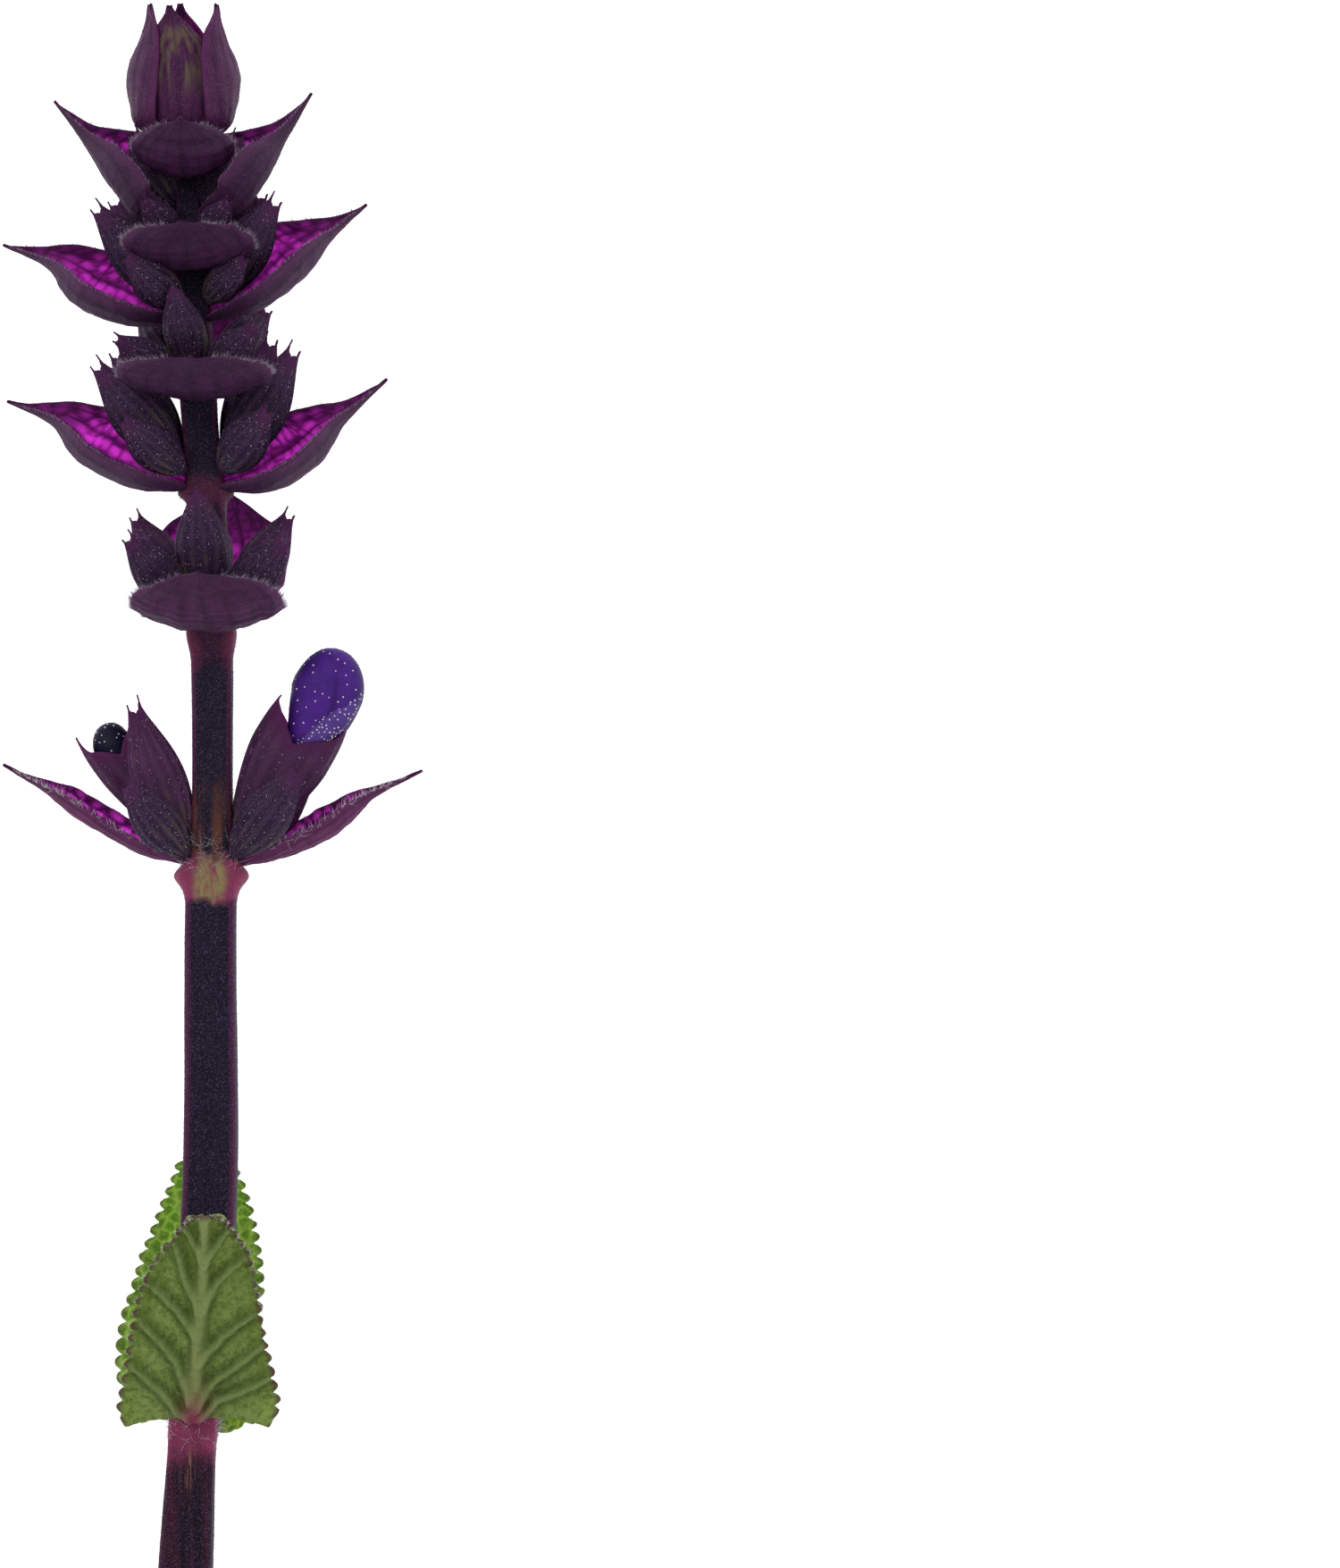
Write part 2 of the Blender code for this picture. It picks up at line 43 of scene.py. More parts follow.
surfaceZ = -7.5                                   # the surface it lies on, in the plan
restHeight = 0.02                                 # how far above it blades and hairs lie, in mm
hairHeight = 0.15                                 # no hair grows lower than this above it
print("frame loaded:", len(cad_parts), "nodes")


# Helpers for shapes. Plan places are in mm: X right, Y up the stem, Z towards the viewer.

def toFrame(points):
    return (np.asarray(points, float) - planOrigin) * mm


def ease(a, b, t):                                # smooth step from 0 at a to 1 at b
    s = np.clip((t - a) / (b - a), 0.0, 1.0)
    return s * s * (3.0 - 2.0 * s)


def hump(middle, width, t):                       # a round bump of height 1
    return np.exp(-((t - middle) / width) ** 2)


def unit(vectors):
    return vectors / np.maximum(np.linalg.norm(vectors, axis=-1, keepdims=True), 1e-9)


def course(stations, t):                          # reads rows of (place, values...) along a smooth curve
    rows = np.array(stations, float)
    places, values = rows[:, 0], rows[:, 1:]
    slopes = np.gradient(values, places, axis=0)
    steps = np.diff(values, axis=0)
    slopes[1:-1] *= steps[:-1] * steps[1:] > 0    # flat where it turns, so that it never overshoots
    t = np.clip(t, places[0], places[-1])
    k = np.clip(np.searchsorted(places, t, side="right") - 1, 0, len(rows) - 2)
    run = (places[k + 1] - places[k])[..., None]
    s = (t - places[k])[..., None] / run
    blended = values[k] * (2 * s ** 3 - 3 * s ** 2 + 1) + values[k + 1] * (3 * s ** 2 - 2 * s ** 3)
    return (blended + run * (slopes[k] * (s ** 3 - 2 * s ** 2 + s) + slopes[k + 1] * (s ** 3 - s ** 2))).T


def smoothPath(points, t):                        # Catmull-Rom through a few points, t from 0 to 1
    p = np.array(points, float)
    p = np.vstack([2 * p[0] - p[1], p, 2 * p[-1] - p[-2]])
    spans = len(p) - 3
    place = np.clip(t, 0.0, 1.0) * spans
    k = np.minimum(place.astype(int), spans - 1)
    s = (place - k)[:, None]
    a, b, c, d = p[k], p[k + 1], p[k + 2], p[k + 3]
    return 0.5 * (2 * b + (c - a) * s + (2 * a - 5 * b + 4 * c - d) * s ** 2 + (3 * b - a - 3 * c + d) * s ** 3)


def followPath(points, t, step=0.01):             # places along the path, and the way it goes there
    ahead, behind = np.minimum(t + step, 1.0), np.maximum(t - step, 0.0)
    return smoothPath(points, t), unit(smoothPath(points, ahead) - smoothPath(points, behind))


def ripple(points, size, seed):                   # smooth unevenness, about -1 to 1, size in mm
    rng = np.random.default_rng(seed)
    total = np.zeros(len(points))
    for k in range(7):
        wave = rng.normal(size=points.shape[1]) * 2.2 / size
        total += np.sin(points @ wave + rng.uniform(0, 2 * math.pi))
    return total / 4.0


def restOnSurface(points, soft=0.5, lift=restHeight):    # bends a blade flat where it meets the surface
    above = points[:, 2] - (surfaceZ + lift)
    bent = np.where(above < -soft, 0.0, (above + soft) ** 2 / (4 * soft))
    points[:, 2] = np.where(above < soft, bent, above) + surfaceZ + lift
    return points


def network(flat, spacing, extent, seed):         # distance to the mesh of fine veins, in mm
    rng = np.random.default_rng(seed)
    xs = np.arange(-extent[0], extent[0], spacing)
    ys = np.arange(-0.1 * extent[1], extent[1] * 1.1, spacing)
    seeds = np.array([(x, y) for x in xs for y in ys])
    seeds = seeds + rng.uniform(-0.36, 0.36, seeds.shape) * spacing
    gaps = np.empty(len(flat))
    for start in range(0, len(flat), 4000):
        part = flat[start:start + 4000]
        near = np.sort(np.linalg.norm(part[:, None] - seeds[None], axis=2), axis=1)
        gaps[start:start + 4000] = (near[:, 1] - near[:, 0]) / 2
    return gaps


def strokeDistance(flat, stroke):                 # distance to a line of points, and how far along it
    best = np.full(len(flat), 99.0)
    along = np.zeros(len(flat))
    stroke = np.array(stroke, float)
    for k in range(len(stroke) - 1):
        a, b = stroke[k], stroke[k + 1]
        s = np.clip(((flat - a) @ (b - a)) / ((b - a) @ (b - a)), 0, 1)
        d = np.linalg.norm(flat - (a + s[:, None] * (b - a)), axis=1)
        along = np.where(d < best, (k + s) / (len(stroke) - 1), along)
        best = np.minimum(best, d)
    return best, along


def shapedGrid(name, columns, rows, surface, tube=False):   # a grid whose points follow surface(u, v)
    bm = bmesh.new()
    bmesh.ops.create_grid(bm, x_segments=columns, y_segments=rows, size=1.0)
    mesh = bpy.data.meshes.new(name)
    bm.to_mesh(mesh)
    bm.free()
    flat = np.empty(len(mesh.vertices) * 3)
    mesh.vertices.foreach_get("co", flat)
    flat = flat.reshape(-1, 3)
    u, v = (flat[:, 1] + 1) / 2, flat[:, 0]
    points, marks = surface(u, v)
    for mark, values in {"along": u, **marks}.items():
        layer = mesh.attributes.new(mark, "FLOAT", "POINT")
        layer.data.foreach_set("value", np.asarray(values, np.float32))
    mesh.vertices.foreach_set("co", toFrame(points).ravel())
    mesh.update()
    if tube:
        bm = bmesh.new()
        bm.from_mesh(mesh)
        bmesh.ops.remove_doubles(bm, verts=bm.verts, dist=1e-7)
        bmesh.ops.recalc_face_normals(bm, faces=bm.faces)
        bm.to_mesh(mesh)
        bm.free()
    mesh.shade_smooth()
    return mesh


def probe(surface, u, v, step=0.004):             # points on a surface, and the ways out, up and across there
    du = surface(np.clip(u + step, 0, 1), v)[0] - surface(np.clip(u - step, 0, 1), v)[0]
    dv = surface(u, v + step)[0] - surface(u, v - step)[0]
    return surface(u, v)[0], unit(np.cross(dv, du)), unit(du), unit(dv)


def leaningHairs(rng, surface, u, v, away, stand=0.7, lean=0.6, stray=0.25):    # out, and over to the tip
    at, out, up = probe(surface, u, v)[:3]
    out = out * np.sign(np.sum(out * away(at), axis=1))[:, None]
    return at, out * stand + up * lean + rng.normal(size=at.shape) * stray


def seedOf(name):                                 # each piece gets its own unevenness
    return sum(ord(letter) for letter in name)


def turnOutward(mesh, outward):                   # outward gives a face's share, below 0 if it looks inwards
    bm = bmesh.new()
    bm.from_mesh(mesh)
    if sum(outward(face) for face in bm.faces) < 0:
        bmesh.ops.reverse_faces(bm, faces=bm.faces)
    bm.to_mesh(mesh)
    bm.free()


def addPiece(mesh, finishes, nodes=(), wall=0.0, facing=None):
    if facing is not None:                        # turn the sheet so that its outer side looks that way
        turnOutward(mesh, lambda face: face.calc_area() * (np.array(face.normal) @ np.array(facing)))
    piece = bpy.data.objects.new(mesh.name, mesh)
    bpy.context.scene.collection.objects.link(piece)
    for finish in finishes:
        mesh.materials.append(finish)
    if wall:
        thick = piece.modifiers.new("wall", "SOLIDIFY")
        thick.thickness = wall * mm
        thick.offset = -1.0
        thick.material_offset = len(finishes) - 1
        thick.material_offset_rim = 0
    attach(piece, "root")
    if nodes:
        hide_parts(*nodes)


def template(kind):                               # one hair or one gland, built once
    bm = bmesh.new()
    if kind == "hair":
        bmesh.ops.create_cone(bm, cap_ends=True, segments=3, radius1=1.0, radius2=0.12, depth=1.0)
        bmesh.ops.translate(bm, verts=bm.verts, vec=(0, 0, 0.5))
        for height in (0.35, 0.25):
            cut = bm.verts[:] + bm.edges[:] + bm.faces[:]
            bmesh.ops.bisect_plane(bm, geom=cut, plane_co=(0, 0, height), plane_no=(0, 0, 1))
    elif kind == "down":
        bmesh.ops.create_cone(bm, cap_ends=True, segments=3, radius1=1.0, radius2=0.0, depth=1.0)
        bmesh.ops.translate(bm, verts=bm.verts, vec=(0, 0, 0.5))
    else:
        bmesh.ops.create_icosphere(bm, subdivisions=1, radius=1.0)
    bmesh.ops.triangulate(bm, faces=bm.faces)
    bmesh.ops.recalc_face_normals(bm, faces=bm.faces)
    bm.verts.ensure_lookup_table()
    verts = np.array([v.co[:] for v in bm.verts])
    faces = np.array([[v.index for v in f.verts] for f in bm.faces])
    bm.free()
    return verts, faces


templates = {kind: template(kind) for kind in ("hair", "down", "gland")}


def scatter(name, kind, feet, directions, lengths, widths, finish, bend=0.0, seed=1):
    rng = np.random.default_rng(seed)
    feet, directions, lengths = np.vstack(feet), np.vstack(directions), np.hstack(lengths)
    keep = feet[:, 2] > surfaceZ + hairHeight
    feet, directions, lengths = feet[keep], unit(directions[keep]), lengths[keep]
    widths = widths[keep] if np.ndim(widths) else np.full(len(feet), widths)
    verts, faces = templates[kind]
    side = unit(np.cross(directions, rng.normal(size=feet.shape)))
    other = np.cross(directions, side)
    x, y, z = verts.T
    lean = rng.uniform(-bend, bend, len(feet))
    spots = feet[:, None] + directions[:, None] * (z[None, :, None] * lengths[:, None, None])
    spots += side[:, None] * (x * widths[:, None] + z ** 2 * (lean * lengths)[:, None])[..., None]
    spots += other[:, None] * (y * widths[:, None])[..., None]
    spots[..., 2] = np.maximum(spots[..., 2], surfaceZ + restHeight)
    corners = (faces[None] + (np.arange(len(feet)) * len(verts))[:, None, None]).reshape(-1, 3)
    mesh = bpy.data.meshes.new(name)
    mesh.vertices.add(len(feet) * len(verts))
    mesh.vertices.foreach_set("co", toFrame(spots.reshape(-1, 3)).ravel())
    mesh.loops.add(corners.size)
    mesh.loops.foreach_set("vertex_index", corners.ravel().astype(np.int32))
    mesh.polygons.add(len(corners))
    mesh.polygons.foreach_set("loop_start", np.arange(0, corners.size, 3, dtype=np.int32))
    mesh.update(calc_edges=True)
    mesh.validate()
    if kind == "gland":
        mesh.shade_smooth()
    addPiece(mesh, [finish])


def scatterGlands(name, spots, sizes, finish, seed):
    upright = np.tile((0.0, 0.0, 1.0), (len(spots), 1))
    scatter(name, "gland", spots, upright, sizes, sizes, finish, seed=seed)


# Helpers for finishes.

class Signal:                                     # a shader socket that takes plain sums
    def __init__(self, finish, socket):
        self.finish = finish
        self.socket = socket

    def __add__(self, other):
        return self.finish.maths("ADD", self, other)

    def __sub__(self, other):
        return self.finish.maths("SUBTRACT", self, other)

    def __rsub__(self, other):
        return self.finish.maths("SUBTRACT", other, self)

    def __mul__(self, other):
        return self.finish.maths("MULTIPLY", self, other)

    __radd__, __rmul__ = __add__, __mul__


class Finish:                                     # one material and its nodes
    def __init__(self, name):
        self.material = bpy.data.materials.new(name)
        self.material.use_nodes = True
        self.tree = self.material.node_tree
        self.tree.nodes.clear()
        self.out = self.tree.nodes.new("ShaderNodeOutputMaterial")

    def node(self, kind, settings=None, values=None, out=0):
        made = self.tree.nodes.new(kind)
        for key, value in (settings or {}).items():
            setattr(made, key, value)
        for key, value in (values or {}).items():
            socket = made.inputs[key]
            if isinstance(value, Signal):
                self.tree.links.new(value.socket, socket)
            elif socket.type == "RGBA":
                socket.default_value = (*value, 1.0)
            else:
                socket.default_value = value
        return Signal(self, made.outputs[out])

    def maths(self, operation, first, second):
        return self.node("ShaderNodeMath", {"operation": operation}, {0: first, 1: second})

    def marks(self, *names):                      # values that a surface gave to its points
        return [self.node("ShaderNodeAttribute", {"attribute_name": name}, out=2) for name in names]

    def noise(self, size, detail=3.0, roughness=0.55, stretch=None):   # size in mm
        spot = self.node("ShaderNodeTexCoord", out=3)
        if stretch:
            spot = self.node("ShaderNodeMapping", None, {"Vector": spot, "Scale": stretch})
        return self.node("ShaderNodeTexNoise", None,
                         {"Vector": spot, "Scale": 1.0 / (size * mm), "Detail": detail, "Roughness": roughness})

    def between(self, low, high, signal):         # 0 at low, 1 at high
        return self.node("ShaderNodeMapRange", {"interpolation_type": "SMOOTHSTEP"},
                         {"Value": signal, "From Min": low, "From Max": high})

    def blend(self, share, first, second):
        return self.node("ShaderNodeMix", {"data_type": "RGBA"}, {0: share, 6: first, 7: second}, out=2)

    def layers(self, colour, *coats):             # each coat is a share and a colour, laid over the one before
        for share, coat in coats:
            colour = self.blend(share, colour, coat)
        return colour

    def bump(self, height, distance, strength=0.6):   # distance in mm
        return self.node("ShaderNodeBump", None,
                         {"Height": height, "Distance": distance * mm, "Strength": strength})

    def surface(self, colour, roughness, normal=None, through=None, share=0.0, gloss=0.5, glow=0.0):
        values = {"Base Color": colour, "Roughness": roughness, "Specular IOR Level": gloss,
                  "Emission Strength": glow}
        if normal:
            values["Normal"] = normal
        shader = self.node("ShaderNodeBsdfPrincipled", None, values)
        if through is not None:                   # share of the light goes through, in this colour
            light = self.node("ShaderNodeBsdfTranslucent", None, {"Color": through})
            shader = self.node("ShaderNodeMixShader", None, {0: share, 1: shader, 2: light})
        self.tree.links.new(shader.socket, self.out.inputs["Surface"])
        return self.material


# Camera, floor and light.

view = {
    "pixel": 0.044,          # mm of the plant in one pixel of the 1500 by 1755 picture
    "frameHeight": 1755,
    "aimX": 22.88,           # plan place of the picture's middle
    "aimY": 38.61,
    "distance": 420.0,
    "sensor": 36.0,
    "nearest": 0.01,         # the camera sees nothing nearer, in metres
    # place and size in metres, power
    "lights": {"keyLight": ((-0.25, 0.30, 0.55), 0.30, 0.95), "fillLight": ((0.35, -0.15, 0.45), 0.35, 0.34)},
    "sky": ((0.95, 0.97, 1.0, 1.0), 0.47),
    "floor": ((0.9, 0.9, 0.91), 0.95),       # colour and glow
    "floorSize": 3.0,
    "floorDrop": 0.00005,    # how far it lies under the plant, in metres
}


def makeStage():
    scene = bpy.context.scene
    lens = bpy.data.cameras.new("camera")
    lens.sensor_fit = "VERTICAL"
    lens.sensor_height = view["sensor"]
    lens.lens = view["sensor"] * view["distance"] / (view["frameHeight"] * view["pixel"])
    lens.clip_start = view["nearest"]
    camera = bpy.data.objects.new("camera", lens)
    camera.location = toFrame([view["aimX"], view["aimY"], view["distance"]])
    scene.collection.objects.link(camera)
    scene.camera = camera

    bm = bmesh.new()
    bmesh.ops.create_grid(bm, x_segments=1, y_segments=1, size=view["floorSize"])
    bmesh.ops.translate(bm, verts=bm.verts, vec=(0, 0, -view["floorDrop"]))
    mesh = bpy.data.meshes.new("floor")
    bm.to_mesh(mesh)
    bm.free()
    colour, glow = view["floor"]
    mesh.materials.append(Finish("paleFloor").surface(colour, 0.8, glow=glow))
    floor = bpy.data.objects.new("floor", mesh)
    scene.collection.objects.link(floor)

    for name, (place, size, power) in view["lights"].items():
        light = bpy.data.lights.new(name, "AREA")
        light.size = size
        light.energy = power
        lamp = bpy.data.objects.new(name, light)
        lamp.location = place
        lamp.rotation_euler = (-lamp.location).to_track_quat("-Z", "Y").to_euler()    # turned to the plant
        scene.collection.objects.link(lamp)
    world = bpy.data.worlds.new("softSky")
    world.use_nodes = True
    sky = world.node_tree.nodes["Background"].inputs
    sky["Color"].default_value, sky["Strength"].default_value = view["sky"]
    scene.world = world
    scene.view_settings.view_transform = "Standard"
    print("stage set")


makeStage()


# Stem.

stem = {
    "cells": (64, 620),      # round the stem and along it
    "foot": -8.0,            # heights of its two ends
    "top": 70.2,
    "cutRows": 0.012,        # share of the rows on the cut face, and on the upper end
    "endRows": 0.004,
    # height, and the middle's place across
    "axis": [(-8, -1.20), (0, -0.97), (6, -0.66), (17.6, 0.18), (32, 0.26), (37, 0.34), (44.6, 0.33),
             (52, 0.08), (57.5, -0.34), (61.3, -0.50), (66.2, -0.80), (70.2, -1.00)],
    "halfWidth": [(-8, 1.27), (0, 1.25), (5.9, 1.10), (6.9, 1.12), (8.2, 1.12), (17.6, 1.25), (32.6, 1.16),
                  (34.0, 1.30), (35.6, 1.02), (37, 0.96), (44.6, 0.95), (46.0, 1.12), (47.2, 0.94), (52, 0.88),
                  (53, 0.90), (54.5, 0.84), (57.5, 0.82), (61.3, 0.74), (66.2, 0.60), (70.2, 0.35)],
    # height, compass, bulge, half height
    "nodes": [(7.0, 90.0, 0.15, 0.6), (34.1, 0.0, 0.42, 0.62), (46.1, 90.0, 0.30, 0.6), (52.9, 0.0, 0.55, 0.36),
              (57.6, 90.0, 0.28, 0.6)],
    # colours at the nodes: heights where each starts, is full, fades and ends
    "bands": {"scar": (3.6, 4.6, 5.4, 6.4), "heel": (4.6, 6.6, 7.8, 9.6), "knee": (32.6, 33.4, 34.5, 35.4),
              "warm": (34.0, 35.0, 36.0, 39.5), "collar": (43.8, 45.4, 46.4, 48.0),
              "joint": (51.6, 52.6, 53.3, 54.2)},
    # lowest and highest place, how many
    "longHairs": [(34.4, 36.0, 170), (6.2, 7.6, 130)],
    "squareness": 4.5,
    "groove": 0.05,
    "hairs": 15000,
}


def stemSurface(u, v):
    angle = math.pi * v
    cut, end = stem["cutRows"], stem["endRows"]
    y = stem["foot"] + (stem["top"] - stem["foot"]) * np.clip((u - cut) / (1 - cut - end), 0, 1)
    x, half = course(stem["axis"], y)[0], course(stem["halfWidth"], y)[0]
    c, s = np.cos(angle), np.sin(angle)
    n = stem["squareness"]
    reach = (np.abs(c) ** n + np.abs(s) ** n) ** (-1 / n) * (1 - stem["groove"] * np.cos(4 * angle))
    reach = reach / (1 - stem["groove"])
    for place, compass, height, tall in stem["nodes"]:
        reach = reach + height * np.cos(angle - math.radians(compass)) ** 4 * hump(place, tall, y)
    reach = reach * (1 + 0.012 * ripple(np.stack([3 * c, 3 * s, y * 0.6], 1), 1.6, 5))
    fill = np.clip(u / cut, 0, 1) * np.clip((1 - u) / end, 0, 1)
    reach = half * reach * fill
    points = np.stack([x + reach * c, y, reach * s], 1)
    askew = 0.10 * c * fill + 0.06                # the cut isn't square to the stem
    points[:, 1] += np.where(u < cut, askew, 0.06 * hump(0.02, 0.02, u))
    marks = {"corner": np.abs(np.sin(2 * angle)) ** 2.5, "side": np.abs(c), "height": y,
             "cut": (u < cut) * (1 - fill ** 6)}
    return points, marks


def stemFinish():
    f = Finish("stemSkin")
    corner, side, cut, height = f.marks("corner", "side", "cut", "height")
    drift = f.noise(0.9, 3.0)
    y = height + (drift - 0.5) * 1.6
    streak = f.noise(0.42, 5.0, 0.65, (1.0, 0.05, 1.0))
    speck = f.noise(0.065, 3.0, 0.6)
    bands = {name: f.between(start, full, y) * f.between(end, fade, y)
             for name, (start, full, fade, end) in stem["bands"].items()}
    dark = f.blend(streak, (0.004, 0.004, 0.013), (0.020, 0.011, 0.032))
    # painted sheen: this plum on the stem's corners stands in for grazing light through the hairs there
    plum = f.blend(streak, (0.040, 0.007, 0.032), (0.110, 0.016, 0.070))
    foot = f.blend(f.between(0.40, 0.75, streak), (0.008, 0.003, 0.008), (0.085, 0.011, 0.030))
    pink = f.blend(drift, (0.22, 0.024, 0.070), (0.40, 0.065, 0.16))
    pith = f.blend(f.noise(0.25, 3.0), (0.42, 0.45, 0.22), (0.62, 0.66, 0.42))
    collar = bands["collar"] * (0.35 + 0.65 * f.between(0.2, 0.9, corner))
    swollen = collar * 0.5 + bands["knee"] + bands["heel"] + bands["joint"] * 0.3
    cloud = f.noise(0.5, 3.0, 0.6, (1.0, 0.4, 1.0))
    olive = bands["knee"] * f.between(0.62, 0.35, side) * f.between(0.35, 0.6, cloud)
    scar = bands["scar"] * f.between(0.5, 0.1, corner) * f.between(0.5, 0.6, streak)
    skin = f.layers(
        # painted sheen: plum laid on the corners
        f.blend(f.between(0.84, 1.0, corner), dark, plum),
        (f.between(12.0, 3.0, y) * 0.8, foot),       # redder below the leaves
        (bands["warm"] * f.between(0.42, 0.62, streak) * 0.85, (0.17, 0.055, 0.022)),
        (swollen * 0.9, pink),
        (olive * 0.9, (0.34, 0.29, 0.10)),
        (scar * 0.7, (0.36, 0.17, 0.08)),
        (f.between(0.54, 0.68, speck) * 0.42, (0.24, 0.20, 0.36)),
        (cut, pith))
    return f.surface(skin, 0.62, f.bump(streak * 0.7 + speck * 0.5, 0.06, 0.7), gloss=0.12)


def downFinish(name, colour, share=0.55):
    return Finish(name).surface(colour, 0.5, through=colour, share=share)


paleDown = downFinish("paleDown", (0.95, 0.91, 0.95))
fringeDown = downFinish("fringeDown", (0.62, 0.52, 0.64))
dimDown = downFinish("dimDown", (0.38, 0.22, 0.40), 0.4)


def outFromStem(points):
    y = points[:, 1]
    return unit(points - np.stack([course(stem["axis"], y)[0], y, 0 * y], 1))


def makeStem():
    mesh = shapedGrid("stem_skin", *stem["cells"], stemSurface, tube=True)
    addPiece(mesh, [stemFinish()], ["stem"])
    feet, ways, lengths = [], [], []
    rng = np.random.default_rng(14)
    rows = 1 - stem["cutRows"] - stem["endRows"]
    for low, high, count in stem["longHairs"]:    # the long curled hairs at the nodes
        rise = (rng.uniform(low, high, count) - stem["foot"]) / (stem["top"] - stem["foot"])
        at = stemSurface(rise * rows + stem["cutRows"], rng.uniform(-0.1, 1.1, count))[0]
        feet.append(at)
        ways.append(outFromStem(at) + (0, 0.5, 0) + rng.normal(size=at.shape) * 0.45)
        lengths.append(rng.uniform(0.35, 1.0, count))
    scatter("stem_long_hairs", "hair", feet, ways, lengths, 0.010, paleDown, 0.9, 15)
    rng = np.random.default_rng(11)
    count = stem["hairs"]
    feet = stemSurface(rng.uniform(0.02, 0.93, count), rng.uniform(-1, 1, count))[0]
    out = outFromStem(feet)
    lean = out + (0, -0.8, 0) + rng.normal(size=out.shape) * 0.28
    lengths = rng.uniform(0.07, 0.20, count)
    scatter("stem_down", "down", feet - out * 0.01, lean, lengths, 0.010, dimDown, seed=12)
    print("stem done")


makeStem()


# Bracts: boat-shaped blades, purple outside, magenta where light comes through.

